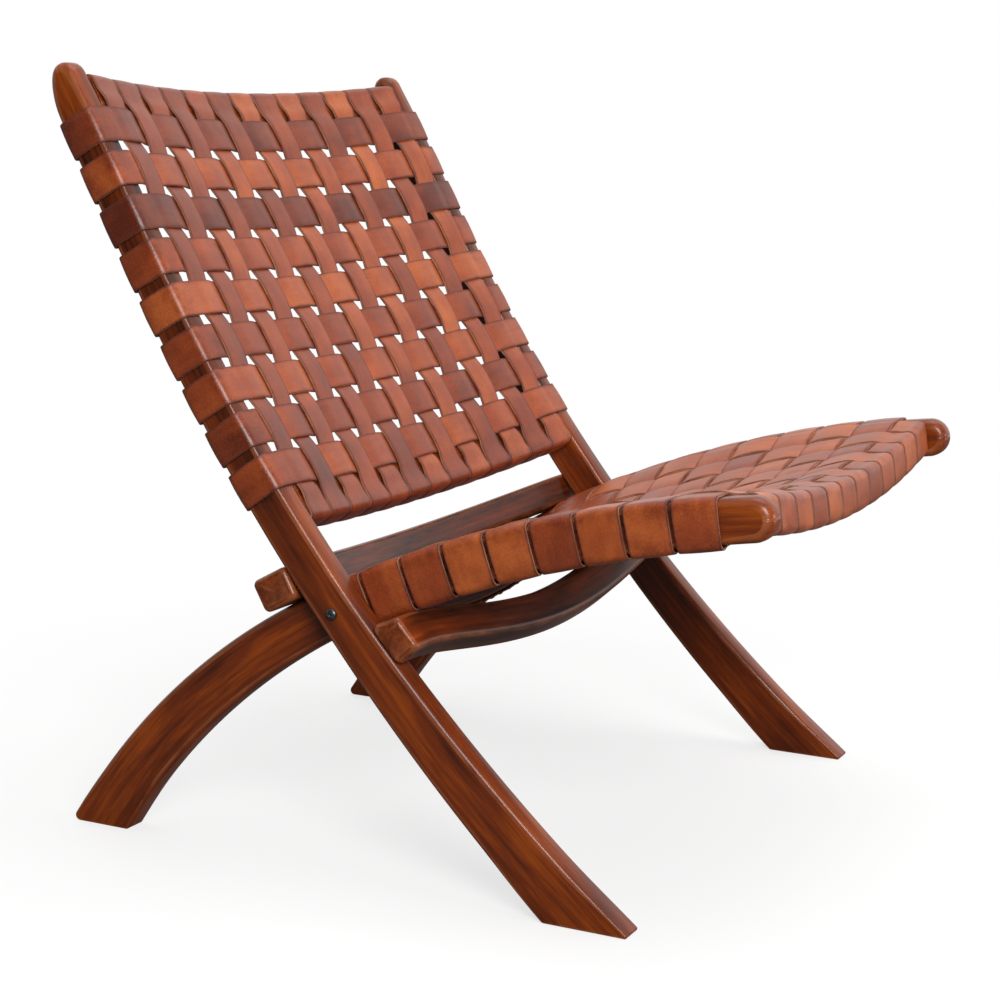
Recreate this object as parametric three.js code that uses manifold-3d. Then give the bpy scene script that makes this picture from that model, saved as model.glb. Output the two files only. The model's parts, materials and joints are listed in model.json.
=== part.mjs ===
// Folding lounge chair: two crossed wooden frames that turn on one pivot line.
// The outer frame carries a woven leather back, the inner frame a woven leather seat.
// Millimetres, +Z up, the sitter faces -Y, so the sitter's right side is -X.
import * as THREE from "three";
import { mergeVertices } from "three/addons/utils/BufferGeometryUtils.js";
import Module from "manifold-3d";

const wasm = await Module();
wasm.setup();

const degrees = THREE.MathUtils.degToRad;
const lerp = THREE.MathUtils.lerp;

// Both frames
const frameWidth = 600;
const boardThickness = 25;
const arrisRadius = 4;
const fitClearance = 0.3;
const runningClearance = 0.5;
const pivotHeight = 244.1;
const tenonLength = 15;
const tenonShoulder = 6;

// Leather straps
const leatherThickness = 2.2;
const weaveClearance = 0.5;
const crossingMargin = 0.15;
const boardTail = 18;
const railTail = 22;

// Stiles, which rise from the front feet through the pivot to the top of the back
const stileSlope = degrees(50.5);
const stileTipBendRadius = 1859;
const stileFootBendRadius = 1906;
const stileBendLength = 349;
const stileLineOffset = 2.7;
const stileTipReach = 549.5;
const stileFootReach = 360;
const stileTipDepth = 34;
const stileTipFrontRound = 14;
const stileTipRearRound = 42;
const stilePivotDepth = 39.8;
const stileFootDepth = 53;

// Seat side rails, which rise from the rear feet through the pivot to the front of the seat
const sideRailSlope = degrees(25.9);
const sideRailTipBendRadius = 1212;
const sideRailFootBendRadius = 672;
const sideRailLineOffset = 2.1;
const sideRailTipReach = 407.5;
const sideRailFootReach = 400;
const sideRailTipDepth = 37.4;
const sideRailTipRound = 18.7;
const sideRailPivotDepth = 43.5;
const sideRailFootDepth = 55;

// Back panel: places are distances up the stile from the pivot
const backBottomRailPlace = 104;
const backTopRailPlace = 517;
const backBottomRailWidth = 39;
const backTopRailWidth = 32;
const backRailDepth = 24;
const backBottomRailBow = 23;
const backTopRailBow = 27;
const backCrossStrapCount = 9;
const backCrossStrapPitch = 43.5;
const backCrossStrapWidth = 34;
const backCrossStrapStart = 134.6;
const backUprightStrapCount = 13;
const backUprightStrapGap = 11.2;
const backUprightStrapEdgeGap = 6.3;
const backUprightStrapRailGap = 0.8;

// Seat panel: places are distances forward along the side rail from the pivot
const seatRearRailPlace = -38;
const seatFrontRailPlace = 374.5;
const seatRailWidth = 25;
const seatRailDepth = 30.5;
const seatRearRailBow = 30;
const seatFrontRailBow = 22;
const seatRearRailDrop = 3;
const seatCrossStrapCount = 9;
const seatCrossStrapPitch = 42.6;
const seatCrossStrapWidth = 39.5;
const seatCrossStrapStart = 1.5;
const seatLongStrapCount = 12;
const seatLongStrapGap = 1.6;
const seatLongStrapEdgeGap = 3;

// Stop bars, which hold the frames open by bearing on the stiles
const rearBarWidth = 38;
const rearBarHeight = 31;
const rearBarBow = 25;
const frontBarWidth = 42.5;
const frontBarDepth = 28;
const frontBarBow = 29;
const barEase = 1.5;

// Pivot bolts
const boltRadius = 3;
const boltHeadRadius = 5.2;
const boltHeadHeight = 3.6;
const boltHeadRimHeight = 1;
const socketRadius = 2.2;
const socketDepth = 2;
const washerRadius = 8;
const washerThickness = 1.4;
const nutRadius = 5.8;
const nutThickness = 5;
const boltEnd = 1.5;

// Fineness of curved surfaces
const edgeSteps = 24;
const tipSteps = 8;
const arrisSteps = 1;
const barSteps = 12;
const roundSides = 16;
const hexagonSides = 6;
const headSteps = 3;
const seatingRounds = 6;
const searchSteps = 40;
const weldDistance = 0.001;
const cutOverrun = 2;

const leatherStand = fitClearance + leatherThickness / 2;
const weaveLift = (leatherThickness + weaveClearance) / 2;
const frameGap = fitClearance + leatherThickness + runningClearance;
const stileInnerFace = frameWidth / 2 - boardThickness;
const sideRailInnerFace = stileInnerFace - frameGap - boardThickness;

const wood = { color: 0x7d4326, roughness: 0.42, metalness: 0 };
const endWood = { color: 0x8a4c2b, roughness: 0.42, metalness: 0 };
const darkMetal = { color: 0x2c2826, roughness: 0.4, metalness: 0.9 };
const leatherTones = [0x8c5230, 0x6d3b22, 0x7a4427, 0x86502f, 0x9a5e37];

// The place where a rising function passes through zero, between low and high.
function rootBetween(rising, low, high) {
  for (let step = 0; step < searchSteps; step++) {
    const middle = (low + high) / 2;
    if (rising(middle) < 0) low = middle;
    else high = middle;
  }
  return (low + high) / 2;
}

// How much of a bow is left at a share of the half width: all in the middle, none at the sides.
function hang(share) {
  return Math.max(0, 1 - share * share);
}

// A wooden side member: its centre line in the upright plane, and its depth across that line.
// Places on it are distances from the pivot, positive toward the tip, negative toward the foot.
class Member {
  constructor(size) {
    Object.assign(this, size);
    this.start = new THREE.Vector2(0, pivotHeight).addScaledVector(this.normal(0), this.lineOffset);
  }

  bendRadius(place) {
    return this.bendSense * (place < 0 ? this.footBendRadius : this.tipBendRadius);
  }

  angle(place) {
    return this.slope + Math.min(place, this.bendLength) / this.bendRadius(place);
  }

  along(place) {
    return new THREE.Vector2(this.lean * Math.cos(this.angle(place)), Math.sin(this.angle(place)));
  }

  normal(place) {
    return new THREE.Vector2(-this.lean * Math.sin(this.angle(place)), Math.cos(this.angle(place)));
  }

  line(place) {
    const angle = this.angle(place);
    const radius = this.bendRadius(place);
    const run = radius * (Math.sin(angle) - Math.sin(this.slope));
    const rise = radius * (Math.cos(this.slope) - Math.cos(angle));
    const straight = place - Math.min(place, this.bendLength);
    return new THREE.Vector2(this.lean * run, rise)
      .add(this.start)
      .addScaledVector(this.along(place), straight);
  }

  depth(place) {
    if (place < 0) return lerp(this.pivotDepth, this.footDepth, -place / this.footReach);
    return lerp(this.pivotDepth, this.tipDepth, place / this.tipReach);
  }

  // A point on the edge: side is 1 on the sitter's side and -1 on the far side.
  edge(place, side) {
    return this.line(place).addScaledVector(this.normal(place), (side * this.depth(place)) / 2);
  }

  // The direction of an edge over a reach either way, and its normal away from the member.
  edgeFrame(place, side, reach) {
    const along = this.edge(place + reach, side).sub(this.edge(place - reach, side)).normalize();
    const outward = new THREE.Vector2(-this.lean * along.y, this.lean * along.x);
    return { point: this.edge(place, side), along, outward: outward.multiplyScalar(side) };
  }

  nearestPlace(point) {
    let place = 0;
    for (let step = 0; step < searchSteps; step++)
      place += point.clone().sub(this.line(place)).dot(this.along(place));
    return place;
  }

  // The place where an edge meets the floor.
  footPlace(side) {
    const lowest = -(this.footReach + this.footDepth);
    return rootBetween((place) => this.edge(place, side).y, lowest, 0);
  }

  // One edge from the foot to where the tip begins: even steps round the bend, then the tip's start.
  edgeOutline(side, tipPlace) {
    const foot = this.footPlace(side);
    const bendEnd = Math.min(this.bendLength, tipPlace);
    const places = [];
    for (let step = 0; step <= edgeSteps; step++) places.push(lerp(foot, bendEnd, step / edgeSteps));
    if (bendEnd < tipPlace) places.push(tipPlace);
    return places.map((place) => this.edge(place, side));
  }

  // The tip: a quarter circle on the sitter's side, then a quarter ellipse to the far edge.
  outline() {
    const frontPlace = this.tipReach - this.tipFrontRound;
    const rearPlace = this.tipReach - this.tipRearRound;
    const peak = this.depth(frontPlace) / 2 - this.tipFrontRound;
    const rearHalf = peak + this.depth(rearPlace) / 2;
    const points = this.edgeOutline(1, frontPlace);
    for (let step = 1; step < tipSteps; step++) {
      const turn = (Math.PI * step) / tipSteps;
      const inFront = turn < Math.PI / 2;
      const across = peak + (inFront ? this.tipFrontRound : rearHalf) * Math.cos(turn);
      const short = (inFront ? this.tipFrontRound : this.tipRearRound) * (1 - Math.sin(turn));
      points.push(
        this.line(frontPlace)
          .addScaledVector(this.normal(frontPlace), across)
          .addScaledVector(this.along(frontPlace), this.tipFrontRound - short),
      );
    }
    return [...points, ...this.edgeOutline(-1, rearPlace).reverse()];
  }
}

// A bowed rail between two members, its sitter's face set below their edge by the drop.
class Rail {
  constructor(member, size) {
    Object.assign(this, size);
    this.along = member.along(this.place);
    this.normal = member.normal(this.place);
    this.end = member
      .edge(this.place, 1)
      .addScaledVector(this.normal, -this.drop - this.depth / 2);
  }

  // The centre of the section at a distance from the middle of the chair.
  centre(x) {
    return this.end.clone().addScaledVector(this.normal, -this.bow * hang(x / this.innerFace));
  }

  // A point of the section: out along the members toward the tip, up toward the sitter.
  point(x, out, up) {
    const flat = this.centre(x).addScaledVector(this.along, out).addScaledVector(this.normal, up);
    return new THREE.Vector3(x, flat.x, flat.y);
  }

  direction(out, up) {
    const flat = this.along.clone().multiplyScalar(out).addScaledVector(this.normal, up);
    return new THREE.Vector3(0, flat.x, flat.y);
  }
}

// Places of a strap round a section: out is the way it wraps, up is toward the sitter.
// Each has its position and the direction of its outer face, and the last is the strap's end.
function wrapPlaces(halfOut, halfUp, tail) {
  const radius = arrisRadius + leatherStand;
  const places = [];
  for (const side of [1, -1])
    for (let step = 0; step <= arrisSteps; step++) {
      const turn = (Math.PI / 2) * (step / arrisSteps) + (side < 0 ? Math.PI / 2 : 0);
      places.push({
        out: halfOut - arrisRadius + radius * Math.sin(turn),
        up: side * (halfUp - arrisRadius) + radius * Math.cos(turn),
        faceOut: Math.sin(turn),
        faceUp: Math.cos(turn),
      });
    }
  places.push({ out: halfOut - tail, up: -halfUp - leatherStand, faceOut: 0, faceUp: -1 });
  return places;
}
const wrapCount = wrapPlaces(0, 0, 0).length;

// A closed solid through rings of points, each ring convex and all with the same count.
// The two halves of a ring are split along opposite diagonals, so that a strap's faces stay parallel.
function loft(rings) {
  const count = rings[0].length;
  const index = [];
  for (let ring = 0; ring + 1 < rings.length; ring++)
    for (let i = 0; i < count; i++) {
      const here = ring * count + i;
      const beside = ring * count + ((i + 1) % count);
      if (i < count / 2) index.push(here, beside, beside + count, here, beside + count, here + count);
      else index.push(here, beside, here + count, beside, beside + count, here + count);
    }
  const last = (rings.length - 1) * count;
  for (let i = 1; i + 1 < count; i++) {
    index.push(0, i + 1, i);
    index.push(last, last + i, last + i + 1);
  }
  const geometry = new THREE.BufferGeometry().setFromPoints(rings.flat());
  geometry.setIndex(index);
  return facingOut(geometry);
}

// Turns the faces outward where the rings ran the other way round.
function facingOut(geometry) {
  const index = geometry.index.array;
  const corner = [0, 1, 2].map(() => new THREE.Vector3());
  let volume = 0;
  for (let i = 0; i < index.length; i += 3) {
    corner.forEach((point, j) => point.fromBufferAttribute(geometry.attributes.position, index[i + j]));
    volume += corner[0].dot(corner[1].cross(corner[2]));
  }
  if (volume < 0)
    for (let i = 0; i < index.length; i += 3)
      [index[i + 1], index[i + 2]] = [index[i + 2], index[i + 1]];
  geometry.computeVertexNormals();
  return geometry;
}

// Solids that are cut or joined
function solidOf(geometry) {
  const bare = geometry.clone();
  bare.deleteAttribute("normal");
  bare.deleteAttribute("uv");
  const merged = mergeVertices(bare, weldDistance);
  return new wasm.Manifold(
    new wasm.Mesh({
      numProp: 3,
      vertProperties: merged.attributes.position.array,
      triVerts: new Uint32Array(merged.index.array),
    }),
  );
}

function geometryOf(solid) {
  const { vertProperties, triVerts } = solid.getMesh();
  const geometry = new THREE.BufferGeometry();
  geometry.setAttribute("position", new THREE.BufferAttribute(vertProperties, 3));
  geometry.setIndex(new THREE.BufferAttribute(triVerts, 1));
  geometry.computeVertexNormals();
  return geometry;
}

function cut(geometry, tools) {
  return geometryOf(tools.reduce((solid, tool) => solid.subtract(solidOf(tool)), solidOf(geometry)));
}

function join(geometry, pieces) {
  return geometryOf(pieces.reduce((solid, piece) => solid.add(solidOf(piece)), solidOf(geometry)));
}

// A turned piece along X: profile points are (radius, distance along X).
function turned(profile) {
  const points = profile.map(([radius, x]) => new THREE.Vector2(radius, x));
  const geometry = new THREE.LatheGeometry(points, roundSides);
  geometry.applyMatrix4(
    new THREE.Matrix4().makeBasis(
      new THREE.Vector3(0, 1, 0),
      new THREE.Vector3(1, 0, 0),
      new THREE.Vector3(0, 0, -1),
    ),
  );
  geometry.deleteAttribute("normal");
  geometry.deleteAttribute("uv");
  return facingOut(mergeVertices(geometry, weldDistance));
}

// A round or many-sided rod along X on the pivot line, between two distances.
function pivotRod(radius, sides, from, to) {
  const rod = new THREE.CylinderGeometry(radius, radius, Math.abs(to - from), sides);
  rod.rotateZ(Math.PI / 2);
  rod.translate((from + to) / 2, 0, pivotHeight);
  return rod;
}

// A convex section with the arrises of its corners eased.
function easedSection(corners, radius) {
  const count = corners.length;
  const middle = corners.reduce((sum, p) => sum.add(p), new THREE.Vector2()).divideScalar(count);
  const faceOf = (from, to) => {
    const face = new THREE.Vector2(to.y - from.y, from.x - to.x).normalize();
    return face.dot(from.clone().sub(middle)) < 0 ? face.negate() : face;
  };
  return corners.flatMap((corner, i) => {
    const before = faceOf(corners[(i + count - 1) % count], corner);
    const after = faceOf(corner, corners[(i + 1) % count]);
    const both = before.clone().add(after);
    const centre = corner.clone().addScaledVector(both, -radius / (1 + before.dot(after)));
    return [before, after].map((face) => centre.clone().addScaledVector(face, radius));
  });
}

// A side member sawn from board, its arrises rounded, with the pivot hole and the mortises cut.
function boardGeometry(member, side, cutters) {
  const geometry = new THREE.ExtrudeGeometry(new THREE.Shape(member.outline()), {
    steps: 1,
    depth: boardThickness - 2 * arrisRadius,
    bevelThickness: arrisRadius,
    bevelSize: arrisRadius,
    bevelOffset: -arrisRadius,
    bevelSegments: arrisSteps,
  });
  const middle = side * (member.innerFace + boardThickness / 2);
  geometry.translate(0, 0, middle - boardThickness / 2 + arrisRadius);
  geometry.applyMatrix4(
    new THREE.Matrix4().makeBasis(
      new THREE.Vector3(0, 1, 0),
      new THREE.Vector3(0, 0, 1),
      new THREE.Vector3(1, 0, 0),
    ),
  );
  const hole = pivotRod(
    boltRadius + fitClearance,
    roundSides,
    middle - boardThickness / 2 - cutOverrun,
    middle + boardThickness / 2 + cutOverrun,
  );
  return cut(geometry, [hole, ...cutters]);
}

// The tongue on a rail's end, or with a clearance the mortise that takes it.
function tenon(rail, side, clearance) {
  const reach = tenonLength + clearance;
  const root = rail.innerFace - cutOverrun - fitClearance;
  const length = rail.innerFace + reach - root;
  const box = new THREE.BoxGeometry(
    length,
    rail.width - 2 * (tenonShoulder - clearance),
    rail.depth - 2 * (tenonShoulder - clearance),
  );
  const along = rail.direction(1, 0);
  const normal = rail.direction(0, 1);
  box.applyMatrix4(new THREE.Matrix4().makeBasis(along.clone().cross(normal), along, normal));
  const centre = rail.point(side * (root + length / 2), 0, 0);
  const seat = rail.point(side * rail.innerFace, 0, 0);
  box.translate(centre.x, seat.y, seat.z);
  return box;
}

function railGeometry(rail, strapPitch, strapCount) {
  const halfWidth = rail.width / 2;
  const halfDepth = rail.depth / 2;
  const section = easedSection(
    [
      new THREE.Vector2(halfWidth, halfDepth),
      new THREE.Vector2(-halfWidth, halfDepth),
      new THREE.Vector2(-halfWidth, -halfDepth),
      new THREE.Vector2(halfWidth, -halfDepth),
    ],
    arrisRadius,
  );
  const end = rail.innerFace - fitClearance;
  const stations = [-end];
  for (let gap = 1; gap < strapCount; gap++) stations.push((gap - strapCount / 2) * strapPitch);
  stations.push(end);
  const body = loft(stations.map((x) => section.map((p) => rail.point(x, p.x, p.y))));
  return join(body, [tenon(rail, 1, 0), tenon(rail, -1, 0)]);
}

// A stop bar right across the chair: straight in front of or behind the stiles, bowed between them.
function barGeometry(corners, bow) {
  const section = easedSection(corners, arrisRadius);
  const stations = [-frameWidth / 2];
  for (let step = 0; step <= barSteps; step++)
    stations.push(lerp(-stileInnerFace, stileInnerFace, step / barSteps));
  stations.push(frameWidth / 2);
  const ring = (x) => {
    const shift = hang(x / stileInnerFace) ** barEase;
    return section.map((p) => new THREE.Vector3(x, p.x + bow.x * shift, p.y + bow.y * shift));
  };
  return loft(stations.map(ring));
}

// A leather strap through stations: each gives the middle of the leather at one of its two long
// edges, and the direction of its outer face.
function strapGeometry(stations, firstEdge, secondEdge) {
  const half = leatherThickness / 2;
  return loft(
    stations.map((station) => {
      const [first, second] = [station(firstEdge), station(secondEdge)];
      return [
        first.middle.clone().addScaledVector(first.face, half),
        second.middle.clone().addScaledVector(second.face, half),
        second.middle.clone().addScaledVector(second.face, -half),
        first.middle.clone().addScaledVector(first.face, -half),
      ];
    }),
  );
}

// A woven panel between two rails and two members.
// Cross straps go round the members, long straps go round the rails, and they pass over and under.
// The long straps share the width between the members, with a gap between and a gap at each edge.
class Panel {
  constructor(parts) {
    Object.assign(this, parts);
    const gaps = (this.longCount - 1) * this.longGap + 2 * this.edgeGap;
    this.longWidth = (2 * this.member.innerFace - gaps) / this.longCount;
    this.longPitch = this.longWidth + this.longGap;
    this.railSpreadShare = (this.longPitch - this.railGap) / this.longWidth;
    this.lowEdge = this.lowRail.place + this.lowRail.width / 2;
    this.highEdge = this.highRail.place - this.highRail.width / 2;
    this.chordStart = this.hungEdge(this.lowEdge, this.lowRail.bow);
    const chord = this.hungEdge(this.highEdge, this.highRail.bow).sub(this.chordStart);
    this.chordFace = new THREE.Vector2(-chord.y, chord.x);
  }

  hungEdge(place, bow) {
    return this.member.edge(place, 1).addScaledVector(this.member.normal(place), -bow);
  }

  // How far the leather lies behind the members' edge in the middle: straight from rail to rail.
  bow(place) {
    if (place <= this.lowEdge) return this.lowRail.bow;
    if (place >= this.highEdge) return this.highRail.bow;
    const away = this.member.edge(place, 1).sub(this.chordStart).dot(this.chordFace);
    return away / this.member.normal(place).dot(this.chordFace);
  }

  // The middle of the leather, lifted toward the sitter or pressed away.
  surface(x, place, lift) {
    const normal = this.member.normal(place);
    const height = leatherStand + lift - this.bow(place) * hang(x / this.member.innerFace);
    const flat = this.member.edge(place, 1).addScaledVector(normal, height);
    return {
      middle: new THREE.Vector3(x, flat.x, flat.y),
      face: new THREE.Vector3(0, normal.x, normal.y),
    };
  }

  crossPlace(number) {
    return this.crossStart + (number - 1) * this.crossPitch;
  }

  longX(number) {
    return (number - (this.longCount + 1) / 2) * this.longPitch;
  }

  // The lift of a long strap where it passes a cross strap, whose own lift is the opposite.
  longLift(long, cross) {
    return (long + cross + this.weaveStart) % 2 === 1 ? weaveLift : -weaveLift;
  }

  aroundMember(side, step) {
    const half = boardThickness / 2;
    return (place) => {
      const wrap = wrapPlaces(half, this.member.depth(place) / 2, boardTail)[step];
      const normal = this.member.normal(place);
      const flat = this.member.line(place).addScaledVector(normal, wrap.up);
      return {
        middle: new THREE.Vector3(side * (this.member.innerFace + half + wrap.out), flat.x, flat.y),
        face: new THREE.Vector3(side * wrap.faceOut, normal.x * wrap.faceUp, normal.y * wrap.faceUp),
      };
    };
  }

  aroundRail(rail, way, step) {
    const wrap = wrapPlaces(rail.width / 2, rail.depth / 2, railTail)[step];
    return (x) => ({
      middle: rail.point(x, way * wrap.out, wrap.up),
      face: rail.direction(way * wrap.faceOut, wrap.faceUp),
    });
  }

  // Where a long strap comes off a rail's face toward the middle of the panel.
  offRail(rail, way) {
    const flat = rail.width / 2 - arrisRadius;
    return (x) => ({
      middle: rail.point(x, -way * flat, rail.depth / 2 + leatherStand),
      face: rail.direction(0, 1),
    });
  }

  crossStrap(number) {
    const stations = [];
    for (let step = wrapCount - 1; step >= 0; step--) stations.push(this.aroundMember(-1, step));
    stations.push((place) => this.surface(-this.member.innerFace, place, 0));
    for (let long = 1; long <= this.longCount; long++)
      for (const side of [-1, 1]) {
        const x = this.longX(long) + side * (this.longWidth / 2 + crossingMargin);
        stations.push((place) => this.surface(x, place, -this.longLift(long, number)));
      }
    stations.push((place) => this.surface(this.member.innerFace, place, 0));
    for (let step = 0; step < wrapCount; step++) stations.push(this.aroundMember(1, step));
    const place = this.crossPlace(number);
    return strapGeometry(stations, place - this.crossWidth / 2, place + this.crossWidth / 2);
  }

  // A long strap spreads as it turns round the rails, where it nearly meets its neighbours.
  longStrap(number) {
    const centre = this.longX(number);
    const spread = (station) => (x) => station(centre + (x - centre) * this.railSpreadShare);
    const halfCross = this.crossWidth / 2 + crossingMargin;
    const stations = [];
    for (let step = wrapCount - 1; step >= 0; step--)
      stations.push(spread(this.aroundRail(this.lowRail, -1, step)));
    if (this.crossPlace(1) - halfCross > this.lowEdge) stations.push(this.offRail(this.lowRail, -1));
    for (let cross = 1; cross <= this.crossCount; cross++)
      for (const side of [-1, 1]) {
        const place = this.crossPlace(cross) + side * halfCross;
        stations.push((x) => this.surface(x, place, this.longLift(number, cross)));
      }
    if (this.crossPlace(this.crossCount) + halfCross < this.highEdge)
      stations.push(this.offRail(this.highRail, 1));
    for (let step = 0; step < wrapCount; step++)
      stations.push(spread(this.aroundRail(this.highRail, 1, step)));
    return strapGeometry(stations, centre - this.longWidth / 2, centre + this.longWidth / 2);
  }
}

const stile = new Member({
  lean: 1,
  bendSense: 1,
  slope: stileSlope,
  tipBendRadius: stileTipBendRadius,
  footBendRadius: stileFootBendRadius,
  bendLength: stileBendLength,
  lineOffset: stileLineOffset,
  tipReach: stileTipReach,
  footReach: stileFootReach,
  tipDepth: stileTipDepth,
  tipFrontRound: stileTipFrontRound,
  tipRearRound: stileTipRearRound,
  pivotDepth: stilePivotDepth,
  footDepth: stileFootDepth,
  innerFace: stileInnerFace,
});

const sideRail = new Member({
  lean: -1,
  bendSense: -1,
  slope: sideRailSlope,
  tipBendRadius: sideRailTipBendRadius,
  footBendRadius: sideRailFootBendRadius,
  bendLength: sideRailTipReach,
  lineOffset: sideRailLineOffset,
  tipReach: sideRailTipReach,
  footReach: sideRailFootReach,
  tipDepth: sideRailTipDepth,
  tipFrontRound: sideRailTipRound,
  tipRearRound: sideRailTipRound,
  pivotDepth: sideRailPivotDepth,
  footDepth: sideRailFootDepth,
  innerFace: sideRailInnerFace,
});

function backRail(place, bow, width) {
  const size = { place, bow, width, depth: backRailDepth, drop: weaveLift };
  return new Rail(stile, { ...size, innerFace: stileInnerFace });
}

function seatRail(place, bow, drop) {
  const size = { place, bow, width: seatRailWidth, depth: seatRailDepth, drop };
  return new Rail(sideRail, { ...size, innerFace: sideRailInnerFace });
}

const back = new Panel({
  member: stile,
  lowRail: backRail(backBottomRailPlace, backBottomRailBow, backBottomRailWidth),
  highRail: backRail(backTopRailPlace, backTopRailBow, backTopRailWidth),
  crossStart: backCrossStrapStart,
  crossPitch: backCrossStrapPitch,
  crossWidth: backCrossStrapWidth,
  crossCount: backCrossStrapCount,
  longGap: backUprightStrapGap,
  edgeGap: backUprightStrapEdgeGap,
  railGap: backUprightStrapRailGap,
  longCount: backUprightStrapCount,
  weaveStart: 0,
});

const seat = new Panel({
  member: sideRail,
  lowRail: seatRail(seatRearRailPlace, seatRearRailBow, seatRearRailDrop),
  highRail: seatRail(seatFrontRailPlace, seatFrontRailBow, weaveLift),
  crossStart: seatCrossStrapStart,
  crossPitch: seatCrossStrapPitch,
  crossWidth: seatCrossStrapWidth,
  crossCount: seatCrossStrapCount,
  longGap: seatLongStrapGap,
  edgeGap: seatLongStrapEdgeGap,
  railGap: seatLongStrapGap,
  longCount: seatLongStrapCount,
  weaveStart: 1,
});

// The rear stop bar lies on the side rails and is pushed forward until it meets the stiles.
function rearBarAt(place) {
  const { point, along, outward } = sideRail.edgeFrame(place, 1, rearBarWidth / 2);
  const base = point.addScaledVector(outward, fitClearance);
  const corner = (out, up) => base.clone().addScaledVector(along, out).addScaledVector(outward, up);
  const half = rearBarWidth / 2;
  return {
    along,
    corners: [
      corner(half, rearBarHeight),
      corner(-half, rearBarHeight),
      corner(-half, 0),
      corner(half, 0),
    ],
    // The two points where the top front arris begins and ends
    arris: [corner(half - arrisRadius, rearBarHeight), corner(half, rearBarHeight - arrisRadius)],
  };
}

function rearBarPastStile(place) {
  const past = rearBarAt(place).arris.map((point) => {
    const beside = stile.nearestPlace(point);
    const behind = stile.line(beside).sub(point).dot(stile.normal(beside));
    return fitClearance + stile.depth(beside) / 2 - behind;
  });
  return Math.max(...past);
}

function rearBar() {
  const place = rootBetween(rearBarPastStile, -sideRailFootReach / 2, 0);
  const { corners, along } = rearBarAt(place);
  return barGeometry(corners, along.multiplyScalar(-rearBarBow));
}

// The front stop bar fills the corner between the stile's front edge and the side rail's underside.
// Each round moves the two touching faces to the places beside the section's middle.
function frontBar() {
  const belowRail = 2 * fitClearance + leatherThickness;
  let middle = stile.edge(-frontBarWidth, 1);
  let corners = [];
  for (let round = 0; round < seatingRounds; round++) {
    const post = stile.edgeFrame(stile.nearestPlace(middle), 1, frontBarWidth / 2);
    const rail = sideRail.edgeFrame(sideRail.nearestPlace(middle), -1, frontBarDepth / 2);
    const onPost = post.point.addScaledVector(post.outward, fitClearance);
    const underRail = rail.point.addScaledVector(rail.outward, belowRail);
    const rise = (point) =>
      underRail.clone().sub(point).dot(rail.outward) / post.along.dot(rail.outward);
    const rear = onPost.clone().addScaledVector(post.along, rise(onPost));
    const ahead = rear.clone().addScaledVector(post.outward, frontBarDepth);
    const front = ahead.clone().addScaledVector(post.along, rise(ahead));
    const lowRear = rear.clone().addScaledVector(post.along, -frontBarWidth);
    const lowFront = ahead.clone().addScaledVector(post.along, -frontBarWidth);
    corners = [rear, front, lowFront, lowRear];
    middle = rear.clone().add(lowFront).divideScalar(2);
  }
  const { outward } = sideRail.edgeFrame(sideRail.nearestPlace(middle), -1, frontBarDepth / 2);
  return barGeometry(corners, outward.multiplyScalar(frontBarBow));
}

// Pivot fasteners, made for the sitter's left and mirrored by the sign of side
const headSeat = frameWidth / 2 + fitClearance;
const washerSeat = sideRailInnerFace - fitClearance;
const nutSeat = washerSeat - washerThickness - fitClearance;

function pivotBolt(side) {
  const end = nutSeat - nutThickness - boltEnd;
  const rim = headSeat + boltHeadRimHeight;
  const crown = boltHeadHeight - boltHeadRimHeight;
  const profile = [
    [0, end],
    [boltRadius, end],
    [boltRadius, headSeat],
    [boltHeadRadius, headSeat],
  ];
  for (let step = 0; step <= headSteps; step++) {
    const turn = (Math.PI / 2) * (step / headSteps);
    profile.push([boltHeadRadius * Math.cos(turn), rim + crown * Math.sin(turn)]);
  }
  profile[profile.length - 1][0] = 0;
  const bolt = turned(profile.map(([radius, x]) => [radius, side * x]));
  bolt.translate(0, 0, pivotHeight);
  const top = side * (headSeat + boltHeadHeight);
  const socket = pivotRod(
    socketRadius,
    hexagonSides,
    top - side * socketDepth,
    top + side * cutOverrun,
  );
  return cut(bolt, [socket]);
}

function ringOnPivot(radius, sides, from, to, side) {
  const ring = pivotRod(radius, sides, side * from, side * to);
  const bore = pivotRod(
    boltRadius + fitClearance,
    roundSides,
    side * (Math.min(from, to) - cutOverrun),
    side * (Math.max(from, to) + cutOverrun),
  );
  return cut(ring, [bore]);
}

// The strap at the pivot is punched for both bolts.
function punched(geometry) {
  const reach = stileInnerFace + cutOverrun;
  return cut(geometry, [
    pivotRod(boltRadius + fitClearance, roundSides, sideRailInnerFace, reach),
    pivotRod(boltRadius + fitClearance, roundSides, -sideRailInnerFace, -reach),
  ]);
}

// Assembly
const chair = new THREE.Group();
const outerFrame = new THREE.Group();
const innerFrame = new THREE.Group();
chair.add(outerFrame, innerFrame);

function add(group, name, geometry, look) {
  const mesh = new THREE.Mesh(geometry, new THREE.MeshStandardMaterial(look));
  mesh.name = name;
  group.add(mesh);
}

function leather(number) {
  return { color: leatherTones[number % leatherTones.length], roughness: 0.5, metalness: 0 };
}

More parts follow.
